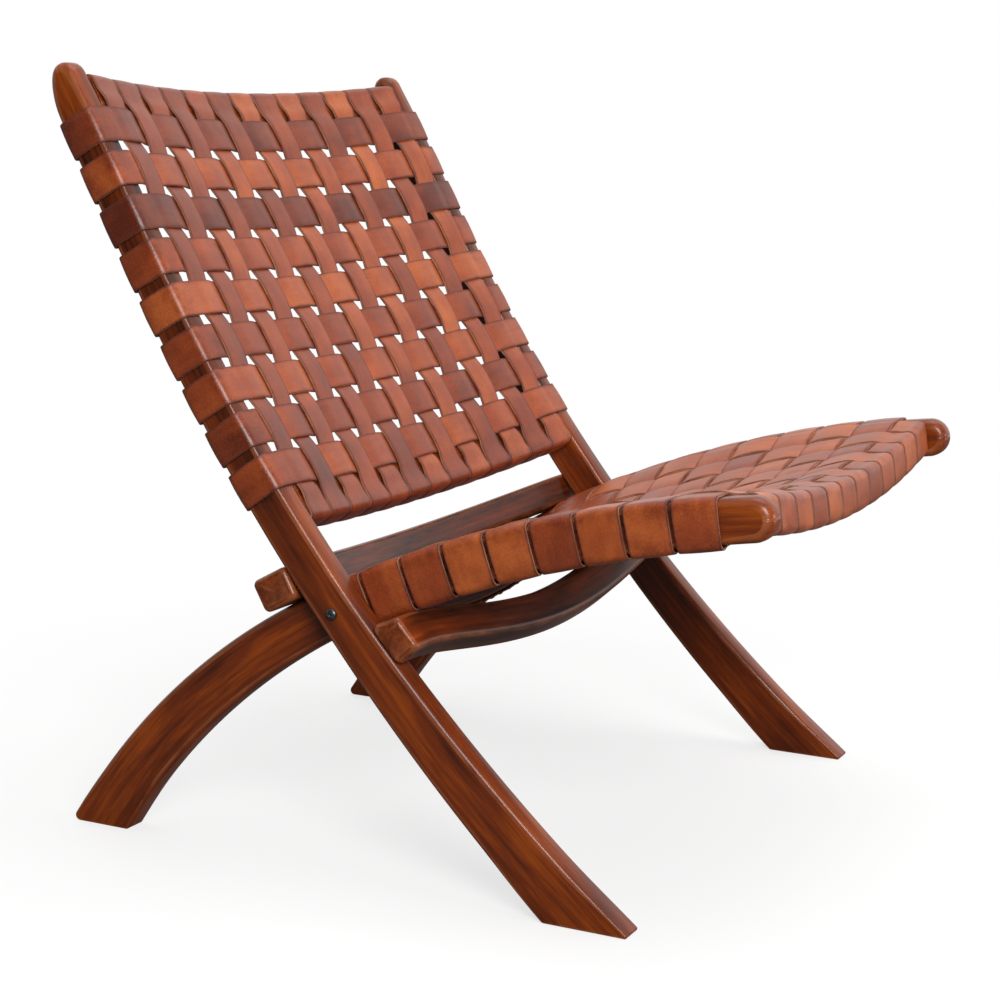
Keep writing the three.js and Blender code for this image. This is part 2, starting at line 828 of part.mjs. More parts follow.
for (const [hand, side] of [["right", -1], ["left", 1]]) {
  const mortise = (rail) => tenon(rail, side, fitClearance);
  const stileCuts = [mortise(back.lowRail), mortise(back.highRail)];
  const sideRailCuts = [mortise(seat.lowRail), mortise(seat.highRail)];
  add(outerFrame, "stile_" + hand, boardGeometry(stile, side, stileCuts), wood);
  add(innerFrame, "seat_side_rail_" + hand, boardGeometry(sideRail, side, sideRailCuts), wood);
  add(outerFrame, "pivot_bolt_" + hand, pivotBolt(side), darkMetal);
  const washer = ringOnPivot(washerRadius, roundSides, washerSeat, washerSeat - washerThickness, side);
  add(outerFrame, "pivot_washer_" + hand, washer, darkMetal);
  const nut = ringOnPivot(nutRadius, hexagonSides, nutSeat, nutSeat - nutThickness, side);
  add(outerFrame, "pivot_nut_" + hand, nut, darkMetal);
}

for (const [name, rail] of [["back_bottom_rail", back.lowRail], ["back_top_rail", back.highRail]])
  add(outerFrame, name, railGeometry(rail, back.longPitch, back.longCount), wood);
for (const [name, rail] of [["seat_rear_rail", seat.lowRail], ["seat_front_rail", seat.highRail]])
  add(innerFrame, name, railGeometry(rail, seat.longPitch, seat.longCount), wood);
add(innerFrame, "rear_stop_bar", rearBar(), endWood);
add(innerFrame, "front_stop_bar", frontBar(), endWood);

for (let number = 1; number <= back.crossCount; number++)
  add(outerFrame, "back_cross_strap_" + number, back.crossStrap(number), leather(number));
for (let number = 1; number <= back.longCount; number++)
  add(outerFrame, "back_upright_strap_" + number, back.longStrap(number), leather(number + 1));
for (let number = 1; number <= seat.crossCount; number++) {
  const strap = seat.crossStrap(number);
  const shape = number === 1 ? punched(strap) : strap;
  add(innerFrame, "seat_cross_strap_" + number, shape, leather(number + 2));
}
for (let number = 1; number <= seat.longCount; number++)
  add(innerFrame, "seat_long_strap_" + number, seat.longStrap(number), leather(number + 4));

// The feet stand on the floor at zero height, and the origin is under the middle of the chair.
const extent = new THREE.Box3().setFromObject(chair);
chair.position.y = -(extent.min.y + extent.max.y) / 2;

export default chair;
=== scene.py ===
"""Looks of a folding lounge chair: crossed curved wooden frames with a woven leather back and seat."""
import json

import bpy
import numpy as np
from mathutils import Matrix, Vector


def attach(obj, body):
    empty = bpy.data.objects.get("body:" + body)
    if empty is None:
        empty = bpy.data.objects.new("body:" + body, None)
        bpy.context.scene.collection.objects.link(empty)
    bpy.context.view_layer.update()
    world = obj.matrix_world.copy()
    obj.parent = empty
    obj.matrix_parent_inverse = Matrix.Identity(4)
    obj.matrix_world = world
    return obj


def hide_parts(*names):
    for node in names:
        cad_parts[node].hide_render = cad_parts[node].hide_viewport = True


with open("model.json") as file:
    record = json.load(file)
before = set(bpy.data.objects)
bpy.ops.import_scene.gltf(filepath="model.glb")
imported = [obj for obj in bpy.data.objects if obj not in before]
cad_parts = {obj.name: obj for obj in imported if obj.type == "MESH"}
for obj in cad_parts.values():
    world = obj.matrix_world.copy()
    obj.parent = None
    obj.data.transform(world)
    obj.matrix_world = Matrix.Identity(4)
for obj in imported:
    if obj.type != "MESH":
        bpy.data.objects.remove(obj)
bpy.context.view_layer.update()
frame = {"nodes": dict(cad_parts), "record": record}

bl_info = {
    "name": "Woven leather lounge chair",
    "version": (1, 0, 0),
    "blender": (4, 5, 0),
    "location": "3D View > Sidebar > Lounge Chair",
    "description": "Builds the wood, leather and fasteners of a folding lounge chair round its frame",
    "category": "Object",
}

PIVOT = frame["record"]["behaviour"]["joints"][0]["pos_m"]
OUTER, INNER = "outer_frame", "inner_frame"
MM = 0.001
RIGHT, LEFT = -1, 1
HANDS = {"right": RIGHT, "left": LEFT}
WOOD, HIDE = "stained lacquered teak", "hand stained cowhide"
# Settings of the nodes that multiply two numbers and that turn one colour into another
MULTIPLY = {"operation": "MULTIPLY"}
MIX = {"data_type": "RGBA"}
# The way from the camera to the white backdrop behind the chair
BACKDROP = (0.84, 0.36, 0.4)

# Sizes in millimetres, the same as the solids have
FRAME_WIDTH = 600.0
BOARD = 25.0
GAP = 0.3
LEATHER = 2.2
STAND = GAP + LEATHER / 2
RAIL_DROP = 1.35
STILE_INNER = 275.0
SIDE_RAIL_INNER = 247.0
BOLT = dict(radius=3.0, head_radius=5.2, head_height=3.6, rim=1.0, socket_radius=2.2, socket_depth=2.0)
BOLT |= dict(tip_chamfer=0.8, head_edge=0.2, socket_chamfer=0.45, dome_degrees=72)
WASHER = dict(radius=8.0, thickness=1.4, edge=0.3)
NUT = dict(radius=5.8, thickness=5.0, bolt_end=1.5, face_inset=0.9, chamfer=0.6)
FASTENER_SIDES = 48
# A tack's distance from the strap's middle, as a share of the strap's width, and from the board's side and
# the rail's corner
TACK = dict(spread=0.27, from_side=12.5, from_corner=16.0)
# The radius that a strap turns on at each corner of the wood, the length over which its end settles back on
# the wood, and how it lies round a rail
WRAP_RADIUS = 5.0
SETTLE = 9.0
RAIL_WRAP = dict(swell=0.4, stand_off=0.5, tail=22.0)
# Rows of points round a corner, along a side and along a strap's end
CORNER_STEPS, SIDE_STEPS, TAIL_STEPS = 9, 7, 5
# How far in from its cut edges a strap's face is darkened by painted shade, and over what length a bend
# marks it, either way
BORDER = 5.0
BEND_SPREAD = 7.0
# The turn within that length that marks it fully, in radians
FULL_BEND = 1.2
# How far apart in the pattern two straps are cut, in metres
CUT_STEP = 7.3
# Rows of points across the panel, and the distance between rows along it
ACROSS_STEPS = 187
ALONG_STEP = 2.8
# The weave fades out over this length where the strap comes to lie on a rail
FADE = 18.0
# How far a long strap lies flat on a rail, and how far in from the rail's outer side its turn ends
REST = 24.0
TURN_END = 6.0
# Points across the rounded rim of a board and round an eased corner, and how far past them the flats start
RIM_STEPS = 15
EASED_STEPS = 7
HOLD = 0.6
# Rows of points along a board's edge, round half of its tip and between its edges
EDGE_STEPS, TIP_STEPS, FACE_STEPS = 128, 19, 7
# Rows of points along a beam, and over its rounded end
BEAM_STEPS, END_STEPS = 61, 5
# A board's arris at the floor, as a share of the foot's rounding, and the heights between which it grows
FOOT_ARRIS = dict(share=0.75, low=6.0, high=60.0)
# How much larger the arris is on the tip, and how far before the tip's end it starts to grow and is full
TIP_ARRIS = dict(more=3.5, start=55.0, full=8.0)
# How much lighter the wood is toward the tips, and how much painted shade darkens it between the straps and
# on a stop bar
TIP_LIGHTEN, SHADE_BETWEEN_STRAPS, BAR_SHADE = 0.12, -0.2, -0.3
# Where in the log a board is sawn, in millimetres along, across and through it, and a beam in metres
BOARD_IN_LOG = (700.0, 48.0, 26.0)
BEAM_IN_LOG = (0.3, 0.034, 0.021)


def unit(vectors):
    """Each vector divided by its own length."""
    return vectors / np.linalg.norm(vectors, axis=-1, keepdims=True)


def smooth(value, low, high):
    """Zero below low and one above high, with 3 t squared minus 2 t cubed between."""
    t = np.clip((value - low) / (high - low), 0.0, 1.0)
    return t * t * (3.0 - 2.0 * t)


def between(a, b, share):
    return a + (b - a) * share


def even_shares(count):
    """That many even shares between nought and one, without the two ends."""
    return np.linspace(0, 1, count + 2)[1:-1]


def upright(x, flat):
    """Points from their x and their place in the upright plane."""
    return np.concatenate([np.broadcast_to(x, flat.shape[:-1])[..., None], flat], -1)


class Member:
    """A curved side member in the upright plane, (distance behind the pivot, height above the floor).

    Its centre line is a circle arc through the pivot that runs straight past the bend length.
    A place is a distance along that line, positive toward the tip and negative toward the foot.
    """

    def __init__(self, lean, slope, tip_bend, foot_bend, bend_length, offset, tip, foot, inner):
        self.lean, self.slope = lean, np.radians(slope)
        self.tip_bend, self.foot_bend, self.bend_length = tip_bend, foot_bend, bend_length
        self.tip_reach, self.tip_depth, self.tip_front, self.tip_rear = tip
        self.foot_reach, self.foot_depth, self.pivot_depth = foot
        self.inner = inner
        self.start = np.array([0.0, PIVOT[2] / MM]) + self.normal(0.0) * offset

    def radius(self, place):
        return np.where(place < 0, self.foot_bend, self.tip_bend)

    def angle(self, place):
        return self.slope + np.minimum(place, self.bend_length) / self.radius(place)

    def along(self, place):
        angle = self.angle(place)
        return np.stack([self.lean * np.cos(angle), np.sin(angle)], -1)

    def normal(self, place):
        angle = self.angle(place)
        return np.stack([-self.lean * np.sin(angle), np.cos(angle)], -1)

    def line(self, place):
        """The arc's chord from the pivot, plus the straight run past the bend length."""
        place = np.asarray(place, float)
        angle, radius = self.angle(place), self.radius(place)
        run = self.lean * radius * (np.sin(angle) - np.sin(self.slope))
        rise = radius * (np.cos(self.slope) - np.cos(angle))
        past = (place - np.minimum(place, self.bend_length))[..., None]
        return self.start + np.stack([run, rise], -1) + self.along(place) * past

    def depth(self, place):
        toward_foot = between(self.pivot_depth, self.foot_depth, -place / self.foot_reach)
        toward_tip = between(self.pivot_depth, self.tip_depth, place / self.tip_reach)
        return np.where(place < 0, toward_foot, toward_tip)

    def edge(self, place, side):
        """The centre line moved half the depth toward the sitter, or away for side -1."""
        place = np.asarray(place, float)
        return self.line(place) + self.normal(place) * (side * self.depth(place) / 2)[..., None]

    def nearest_place(self, points):
        """Each point's place, by stepping along the line to the foot of the perpendicular."""
        place = np.zeros(points.shape[:-1])
        for _ in range(30):
            place = place + ((points - self.line(place)) * self.along(place)).sum(-1)
        return place

    def foot_place(self, side):
        """Where an edge meets the floor, by halving."""
        low, high = -(self.foot_reach + self.foot_depth), 0.0
        for _ in range(40):
            middle = (low + high) / 2
            low, high = (middle, high) if self.edge(middle, side)[1] < 0 else (low, middle)
        return low


# A tip has its reach, its depth and its rounding at the front and at the rear. A foot has its reach, its
# depth and the depth at the pivot
STILE = Member(
    lean=1, slope=50.5, tip_bend=1859.0, foot_bend=1906.0, bend_length=349.0, offset=2.7,
    tip=(549.5, 34.0, 14.0, 42.0), foot=(360.0, 53.0, 39.8), inner=STILE_INNER,
)
SIDE_RAIL = Member(
    lean=-1, slope=25.9, tip_bend=-1212.0, foot_bend=-672.0, bend_length=407.5, offset=2.1,
    tip=(407.5, 37.4, 18.7, 18.7), foot=(400.0, 55.0, 43.5), inner=SIDE_RAIL_INNER,
)


class Rail:
    """A bowed rail between two members. Out runs along the members, up toward the sitter."""

    def __init__(self, member, place, width, depth, bow, drop):
        self.member, self.place, self.width = member, place, width
        self.depth, self.bow, self.drop = depth, bow, drop
        self.along, self.normal = member.along(place), member.normal(place)
        self.end = member.edge(place, 1) - self.normal * (drop + depth / 2)

    def point(self, x, out, up):
        """The section's centre, pushed back by the bow times one minus the share squared."""
        x, out, up = np.broadcast_arrays(np.asarray(x, float), out, up)
        hang = self.bow * np.maximum(0, 1 - (x / self.member.inner) ** 2)
        flat = self.end + self.normal * (up - hang)[..., None] + self.along * out[..., None]
        return upright(x, flat)

    def direction(self, out, up):
        out, up = np.broadcast_arrays(out, up)
        return upright(0.0, self.along * out[..., None] + self.normal * up[..., None])


def wrap_stations(half_out, half_up, swell, stand_off, tail):
    """A strap's way round a section: a quarter circle, the side, a quarter circle and the tail.

    Gives out and up of the leather's middle and the direction of its outer face, one row a station.
    The side swells by a sine, and the second corner stands off the wood before the tail returns to it.
    """
    radius, bend = WRAP_RADIUS, WRAP_RADIUS + STAND
    turn = np.radians(np.linspace(0, 90, CORNER_STEPS))
    flat = even_shares(SIDE_STEPS)
    half_up = np.asarray(half_up, float)[None, :]
    rows = np.ones_like(half_up)
    low = -(half_up - radius) - stand_off
    side_up = between(half_up - radius, low, flat[:, None])
    side_out = half_out + STAND + swell * np.sin(np.pi * flat)[:, None]
    tail_out = between(half_out - radius, half_out - tail, np.linspace(0, 1, TAIL_STEPS + 1)[1:])[:, None]
    settle = smooth(tail_out, half_out - radius, half_out - radius - SETTLE)
    out = [
        half_out - radius + bend * np.sin(turn)[:, None] * rows,
        side_out * rows,
        half_out - radius + bend * np.cos(turn)[:, None] * rows,
        tail_out * rows,
    ]
    up = [
        half_up - radius + bend * np.cos(turn)[:, None],
        side_up,
        low - bend * np.sin(turn)[:, None],
        -half_up - STAND - stand_off * (1 - settle),
    ]
    face_out = [np.sin(turn), np.ones_like(flat), np.cos(turn), np.zeros(TAIL_STEPS)]
    face_up = [np.cos(turn), np.zeros_like(flat), -np.sin(turn), -np.ones(TAIL_STEPS)]
    joined = [np.concatenate(part) for part in (out, up, face_out, face_up)]
    return joined[0], joined[1], joined[2][:, None] * rows, joined[3][:, None] * rows


class Panel:
    """A woven panel between two rails and two members."""

    def __init__(self, member, low, high, cross, long, weave_start, puff, pinched, sides):
        self.member, self.low, self.high = member, low, high
        self.weave_start, self.puff, self.pinched, self.sides = weave_start, puff, pinched, sides
        self.cross_start, self.cross_pitch, self.cross_width, self.cross_count = cross
        self.long_pitch, self.long_width, self.long_count, rail_gap = long
        self.rail_spread = (self.long_pitch - rail_gap) / self.long_width
        self.low_edge = low.place + low.width / 2
        self.high_edge = high.place - high.width / 2
        self.chord_start = self.hung(self.low_edge, low.bow)
        chord = self.hung(self.high_edge, high.bow) - self.chord_start
        self.chord_face = np.array([-chord[1], chord[0]])

    def hung(self, place, bow):
        return self.member.edge(place, 1) - self.member.normal(place) * bow

    def bow(self, place):
        """How far the middle hangs behind the members' edge: a straight line from rail to rail."""
        place = np.asarray(place, float)
        away = ((self.member.edge(place, 1) - self.chord_start) * self.chord_face).sum(-1)
        inside = away / (self.member.normal(place) * self.chord_face).sum(-1)
        inside = np.where(place <= self.low_edge, self.low.bow, inside)
        return np.where(place >= self.high_edge, self.high.bow, inside)

    def surface(self, x, place, lift):
        """A point of the hung surface and its face, with the leather's middle lifted from it."""
        x, place, lift = np.broadcast_arrays(np.asarray(x, float), np.asarray(place, float), lift)
        hang = self.bow(place) * np.maximum(0, 1 - (x / self.member.inner) ** 2)
        normal = self.member.normal(place)
        flat = self.member.edge(place, 1) + normal * (STAND + lift - hang)[..., None]
        return upright(x, flat), upright(0.0, normal)

    def cross_place(self, number):
        return self.cross_start + (number - 1) * self.cross_pitch

    def long_x(self, number):
        return (number - (self.long_count + 1) / 2) * self.long_pitch

    def sign(self, long, cross):
        """1 where the long strap passes over the cross strap, -1 where it passes under."""
        return 1 if (long + cross + self.weave_start) % 2 else -1

    def wave(self, phase, puff):
        """A cosine with its crests flattened, so that a strap lies along the one that it crosses."""
        crest = np.cos(np.pi * phase)
        return puff * crest * (1.5 - 0.5 * crest * crest)


# Cross straps have the first one's place, their pitch, width and count, and long straps their pitch, width,
# count and the gap between them on the rails
BACK = Panel(
    STILE,
    low=Rail(STILE, place=104.0, width=39.0, depth=24.0, bow=23.0, drop=RAIL_DROP),
    high=Rail(STILE, place=517.0, width=32.0, depth=24.0, bow=27.0, drop=RAIL_DROP),
    cross=(134.6, 43.5, 34.0, 9), long=(42.2, 31.0, 13, 0.8),
    weave_start=0, puff=1.0, pinched=0, sides=dict(swell=0.5, stand_off=1.0, tail=18.0),
)
SEAT = Panel(
    SIDE_RAIL,
    low=Rail(SIDE_RAIL, place=-38.0, width=25.0, depth=30.5, bow=30.0, drop=3.0),
    high=Rail(SIDE_RAIL, place=374.5, width=25.0, depth=30.5, bow=22.0, drop=RAIL_DROP),
    cross=(1.5, 42.6, 39.5, 9), long=(40.8, 39.2, 12, 1.6),
    weave_start=1, puff=1.1, pinched=2, sides=dict(swell=0.6, stand_off=2.0, tail=18.0),
)


def linear(hex_colour):
    """A screen colour as linear light: the sRGB curve undone."""
    value = np.array([int(hex_colour[i:i + 2], 16) / 255 for i in (1, 3, 5)])
    light = np.where(value <= 0.04045, value / 12.92, ((value + 0.055) / 1.055) ** 2.4)
    return (*(float(c) for c in light), 1.0)


def swatch(name, hex_colour, words):
    return bpy.props.FloatVectorProperty(
        name=name, description=words, subtype="COLOR", size=4, min=0, max=1, default=linear(hex_colour)
    )


def length(name, millimetres, words):
    return bpy.props.FloatProperty(
        name=name, description=words, default=millimetres * MM, min=0, precision=5, unit="LENGTH"
    )


def share(name, value, words):
    return bpy.props.FloatProperty(
        name=name, description=words, default=value, min=0, max=1, subtype="FACTOR"
    )


def angle(name, degrees, words):
    return bpy.props.FloatProperty(
        name=name, description=words, default=np.radians(degrees), subtype="ANGLE"
    )


class ChairLeather(bpy.types.PropertyGroup):
    dark: swatch("Dark tone", "#561E0C", "The darkest straps")
    middle: swatch("Middle tone", "#923E18", "Most straps")
    light: swatch("Light tone", "#BE622A", "The lightest straps")
    # The burnish colour is dark stain beside the bends, and also painted shade along the cut edges of each
    # strap's face
    burnish_and_shade: swatch("Burnished stain and painted shade", "#551A09", "Dark stain that gathers beside a bend and in the pores")
    cut_edge: swatch("Cut edge", "#B47B58", "The rubbed rim along both sides of a strap")
    puff: length("Puff", 2.05, "How far a strap rises and dips as it passes over and under")
    crown: length("Crown", 0.6, "How much higher the middle of a strap's face is than its edges")
    corner: length("Edge rounding", 0.7, "Rounding of a strap's cut edges")
    pebble: length("Grain size", 2.0, "Width of the pebbles of the hide's grain")
    wax: share("Wax", 0.12, "Strength of the waxed top")


class ChairWood(bpy.types.PropertyGroup):
    dark: swatch("Dark grain", "#260B03", "The darkest streaks of the stained wood")
    middle: swatch("Middle grain", "#6E2B08", "Most of the wood")
    light: swatch("Light grain", "#A54C0A", "The lightest streaks")
    # The worn colour is stain rubbed off the arrises, and also a painted highlight along them
    worn_and_highlight: swatch("Worn and highlighted arris", "#A8643E", "Where the stain is rubbed off the arrises")
    arris: length("Arris radius", 5.0, "Rounding of the long arrises")
    streak: length("Grain width", 2.1, "Width of one streak of grain")
    ring: length("Growth ring", 7.0, "Width of one growth ring")
    lacquer: share("Lacquer", 0.22, "Strength of the satin lacquer")


class ChairMetal(bpy.types.PropertyGroup):
    blackened: swatch("Blackened steel", "#5E5E61", "Bolts, washers and nuts")
    tack: swatch("Tack steel", "#6A5A48", "Heads of the tacks that hold the strap ends")
    tack_radius: length("Tack radius", 3.0, "Radius of a tack's head")


class ChairStage(bpy.types.PropertyGroup):
    floor: swatch("Floor", "#F8F7F6", "The floor near the chair")
    bounce: swatch("Bounce", "#6E6C6A", "The floor as it lights the chair")
    lens: bpy.props.FloatProperty(
        name="Lens", description="Focal length", default=76.5, min=10, unit="CAMERA"
    )
    place: bpy.props.FloatVectorProperty(
        name="Camera", description="Where the camera stands", size=3, subtype="TRANSLATION",
        default=(-1.8448, PIVOT[1] - 0.9286, 0.6692),
    )
    yaw: angle("Yaw", 63.584, "Turn from facing +Y toward +X")
    pitch: angle("Pitch", -10.174, "Tilt up from level")
    roll: angle("Roll", 0.803, "Turn about the line of sight")


def node(tree, kind, settings=(), stops=(), output=0, **links):
    """Adds a node with its settings, colour stops and links, and gives the output that is named.

    A setting goes to the input of that name or number, or else to the node's own property.
    """
    added = tree.nodes.new("ShaderNode" + kind)
    for key, value in dict(settings).items():
        if isinstance(key, int) or key in added.inputs:
            added.inputs[key].default_value = value
        else:
            setattr(added, key, value)
    for number, (place, colour) in enumerate(stops):
        if number > 1:
            added.color_ramp.elements.new(place)
        added.color_ramp.elements[number].position = place
        added.color_ramp.elements[number].color = colour
    for key, source in links.items():
        if source is not None:
            target = int(key[1:]) if key[1:].isdigit() else key.replace("_", " ")
            tree.links.new(source, added.inputs[target])
    return added.outputs[output] if added.outputs else None


def grey(value):
    return (value, value, value, 1.0)


def shaded(colour, factor):
    """The colour times the factor, at most 1."""
    return (*(min(1.0, part * factor) for part in colour[:3]), 1.0)


def weighted(tree, start, *terms):
    """The start plus the sum of each socket times its factor."""
    total = None
    for socket, factor in terms:
        settings = {"operation": "MULTIPLY_ADD", 1: factor, 2: start}
        total = node(tree, "Math", settings, i0=socket, i2=total)
    return total


def patterned(tree, vector, rows):
    """Cloudy patterns on one set of coordinates, a row each.

    A row is the pattern steps for each metre along, across and through, then its detail and roughness.
    """
    for scale, detail, roughness in rows:
        place = node(tree, "Mapping", {"Scale": scale}, Vector=vector)
        settings = {"Scale": 1.0, "Detail": detail, "Roughness": roughness}
        yield node(tree, "TexNoise", settings, Vector=place)


def finished(tree, shader, colour, gloss, reliefs, values):
    """Links the colour, roughness and bumps to the shader, and sets its uniform values.

    A relief is a height, how far it stands out in metres, and its strength.
    """
    normal = None
    for height, distance, strength in reliefs:
        settings = {"Distance": distance, "Strength": strength}
        normal = node(tree, "Bump", settings, Height=height, Normal=normal)
    for name, source in {"Base Color": colour, "Roughness": gloss, "Normal": normal}.items():
        tree.links.new(source, shader.inputs[name])
    for name, value in values.items():
        shader.inputs[name].default_value = value


def new_material(name):
    material = bpy.data.materials.new(name)
    material.use_nodes = True
    tree = material.node_tree
    return material, tree, tree.nodes["Principled BSDF"]


def tanned_leather(look):
    """Vegetable-tanned cowhide, stained by hand and waxed.

    It has a satin face with fine pebbles, cloudy stain that gathers beside the bends, and rubbed edges.
    Painted shade darkens the face along its cut edges.
    """
    material, tree, shader = new_material(HIDE)
    lay = node(tree, "Attribute", {"attribute_name": "lay"}, output="Vector")
    tone, rim, bend, border = (
        node(tree, "Attribute", {"attribute_name": name}, output="Fac")
        for name in ("tone", "rim", "bend", "border")
    )
    # The stain clouds over about 60 mm, with streaks about 8 mm wide along the hide and blotches of
    # about 15 mm, and it is rubbed off the cut edges in lengths of about 50 mm
    clouds, streaks, specks, blotches, rubbed, wrinkles, dents = patterned(tree, lay, (
        ((17, 17, 1), 3.0, 0.55),
        ((18, 120, 1), 2.0, 0.6),
        ((700, 700, 1), 1.0, 0.6),
        ((70, 60, 1), 4.0, 0.65),
        ((20, 5, 1), 3.0, 0.7),
        ((420, 130, 1), 3.0, 0.6),
        ((45, 45, 1), 2.0, 0.5),
    ))
    mixed = weighted(tree, -1.15, (tone, 1.5), (clouds, 1.0), (streaks, 0.3), (specks, 0.5))
    stops = [(0.0, look.dark), (0.5, look.middle), (1.0, look.light)]
    stained = node(tree, "ValToRGB", stops=stops, Fac=mixed)
    # Painted shade: a dark line along the last two millimetres of the face, where the seams fall in shade
    seam_shade = node(tree, "Math", MULTIPLY, i0=border, i1=border)
    # The blotches are strongest beside the bends; toward the cut edges they add painted shade
    blotches = node(tree, "ValToRGB", stops=[(0.4, grey(0.0)), (0.7, grey(1.0))], Fac=blotches)
    bend_stain_and_edge_shade = weighted(tree, 0.15, (bend, 0.5), (border, 0.4))
    stain_and_shade = node(tree, "Math", MULTIPLY, i0=blotches, i1=bend_stain_and_edge_shade)
    stain_and_shade = weighted(tree, 0.0, (stain_and_shade, 1.0), (seam_shade, 0.9))
    stained = node(tree, "Mix", MIX | {7: look.burnish_and_shade}, output=2, i0=stain_and_shade, i6=stained)
    rubbed = node(tree, "ValToRGB", stops=[(0.35, grey(0.1)), (0.65, grey(1.0))], Fac=rubbed)
    pale = node(tree, "Math", MULTIPLY, i0=rim, i1=rubbed)
    colour = node(tree, "Mix", MIX | {7: look.cut_edge}, output=2, i0=pale, i6=stained)
    # Pebbles of about the grain size, drawn coarser than real ones so that they show
    cells = {"Scale": 1.0 / look.pebble, "feature": "SMOOTH_F1", "Smoothness": 0.6}
    pebbles = node(tree, "TexVoronoi", cells, output="Distance", Vector=lay)
    gloss = weighted(tree, 0.27, (clouds, 0.2), (specks, 0.12), (bend, -0.06), (border, 0.3))
    reliefs = (dents, 0.0012, 0.35), (wrinkles, 0.0005, 0.3), (pebbles, 0.0004, 0.22)
    values = {"IOR": 1.5, "Coat Weight": look.wax, "Coat Roughness": 0.3}
    finished(tree, shader, colour, gloss, reliefs, values)
    return material


def lacquered_wood(look):
    """Teak sawn along its grain, stained red-brown and sprayed with satin lacquer.

    Growth rings run round a pith beside the board, so they are long lines on its faces and arcs on its
    ends.
    """
    material, tree, shader = new_material(WOOD)
    grain = node(tree, "Attribute", {"attribute_name": "grain"}, output="Vector")
    arris, tint = (
        node(tree, "Attribute", {"attribute_name": name}, output="Fac") for name in ("arris", "tint")
    )
    steps = 1.0 / look.streak
    # Streaks one grain width across and about forty long, fibres half as wide, broad bands of 30 mm,
    # and dark stain in long patches of about 120 by 20 mm
    streaks, fibres, bands, patches, rubbed = patterned(tree, grain, (
        ((steps / 40, steps, steps), 3.0, 0.62),
        ((steps / 12, steps * 2, steps * 2), 2.0, 0.6),
        ((4, 34, 34), 2.0, 0.5),
        ((8, 50, 50), 3.0, 0.6),
        ((25, 90, 90), 3.0, 0.6),
    ))
    waves = {"wave_type": "RINGS", "rings_direction": "X", "Distortion": 5.0, "Detail": 2.0}
    # A ring pattern of scale one repeats every 0.314 m
    waves["Scale"] = 0.314 / look.ring
    place = node(tree, "Mapping", {"Scale": (0.1, 1, 1)}, Vector=grain)
    rings = node(tree, "TexWave", waves, output="Fac", Vector=place)
    terms = (streaks, 0.45), (fibres, 0.42), (bands, 0.5), (patches, 1.4), (rings, 0.08), (tint, 1.0)
    mixed = weighted(tree, -0.93, *terms)
    stops = [(0.0, look.dark), (0.5, look.middle), (1.0, look.light)]
    stained = node(tree, "ValToRGB", stops=stops, Fac=mixed)
    # The arrises take the pale worn colour: rubbed stain and also a painted highlight
    rubbed = node(tree, "ValToRGB", stops=[(0.35, grey(0.1)), (0.65, grey(0.6))], Fac=rubbed)
    wear_and_highlight = node(tree, "Math", MULTIPLY, i0=arris, i1=rubbed)
    colour = node(tree, "Mix", MIX | {7: look.worn_and_highlight}, output=2, i0=wear_and_highlight, i6=stained)
    gloss = weighted(tree, 0.22, (streaks, 0.3))
    values = {"IOR": 1.5, "Specular IOR Level": 0.3, "Coat Weight": look.lacquer, "Coat Roughness": 0.11}
    finished(tree, shader, colour, gloss, ((fibres, 0.0003, 0.25), (streaks, 0.0004, 0.2)), values)
    return material


def worn_metal(name, colour, roughness, steps):
    """Steel with a thin dark finish: tumbled smooth, so its gloss is uneven over a few millimetres.

    The steps are the pattern's, for each metre.
    """
    material, tree, shader = new_material(name)
    place = node(tree, "TexCoord", output="Object")
    (patches,) = patterned(tree, place, (((steps, steps, steps), 3.0, 0.6),))
    stops = [(0.3, shaded(colour, 0.6)), (0.7, shaded(colour, 1.5))]
    stained = node(tree, "ValToRGB", stops=stops, Fac=patches)
    gloss = weighted(tree, roughness - 0.15, (patches, 0.3))
    finished(tree, shader, stained, gloss, ((patches, 0.0002, 0.2),), {"Metallic": 1.0})
    return material


def placed(name, data):
    """A new object with this data, in the scene."""
    added = bpy.data.objects.new(name, data)
    bpy.context.collection.objects.link(added)
    return added


def mesh_piece(name, points, faces, material, body, replaced=(), attributes=()):
    """Puts computed points and faces into a mesh, with its place in it, hangs it on its body and hides the
    solids that it replaces.

    points are in millimetres, (x, distance behind the pivot, height).
    """
    place = (points + np.array([0.0, PIVOT[1] / MM, 0.0])) * MM
    data = bpy.data.meshes.new(name)
    data.from_pydata(place.tolist(), [], faces)
    for key, values in dict(attributes).items():
        kind, field = ("FLOAT_VECTOR", "vector") if values.ndim == 2 else ("FLOAT", "value")
        layer = data.attributes.new(key, kind, "POINT")
        layer.data.foreach_set(field, values.astype(np.float32).ravel())
    data.polygons.foreach_set("use_smooth", np.ones(len(data.polygons), bool))
    data.materials.append(material)
    data.validate()
    piece = placed(name, data)
    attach(piece, body)
    if replaced:
        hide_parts(*replaced)


def grid_quads(stations, ring, closed=False):
    """The quads between rings of points, and from the last ring to the first where it is closed."""
    count = stations if closed else stations - 1
    row, column = np.meshgrid(np.arange(count), np.arange(ring), indexing="ij")
    after, beside = (row + 1) % stations * ring, (column + 1) % ring
    row = row * ring
    return np.stack([row + column, row + beside, after + beside, after + column], -1).reshape(-1, 4)


def tube_faces(stations, ring, flip):
    """The quads between rings of points, and a face over each end."""
    first = np.arange(ring)
    ends = np.stack([first[::-1], (stations - 1) * ring + first])
    step = -1 if flip else 1
    return grid_quads(stations, ring)[:, ::step].tolist() + ends[:, ::step].tolist()


def faces_inward(points, stations, ring):
    """True when the first ring, seen along the way to the second, runs the wrong way round."""
    grid = points.reshape(stations, ring, 3)
    middle = stations // 2
    centre = grid[middle].mean(0)
    way = grid[middle + 1].mean(0) - centre
    turn = np.cross(grid[middle] - centre, np.roll(grid[middle], -1, 0) - centre).sum(0)
    return bool(turn @ way > 0)


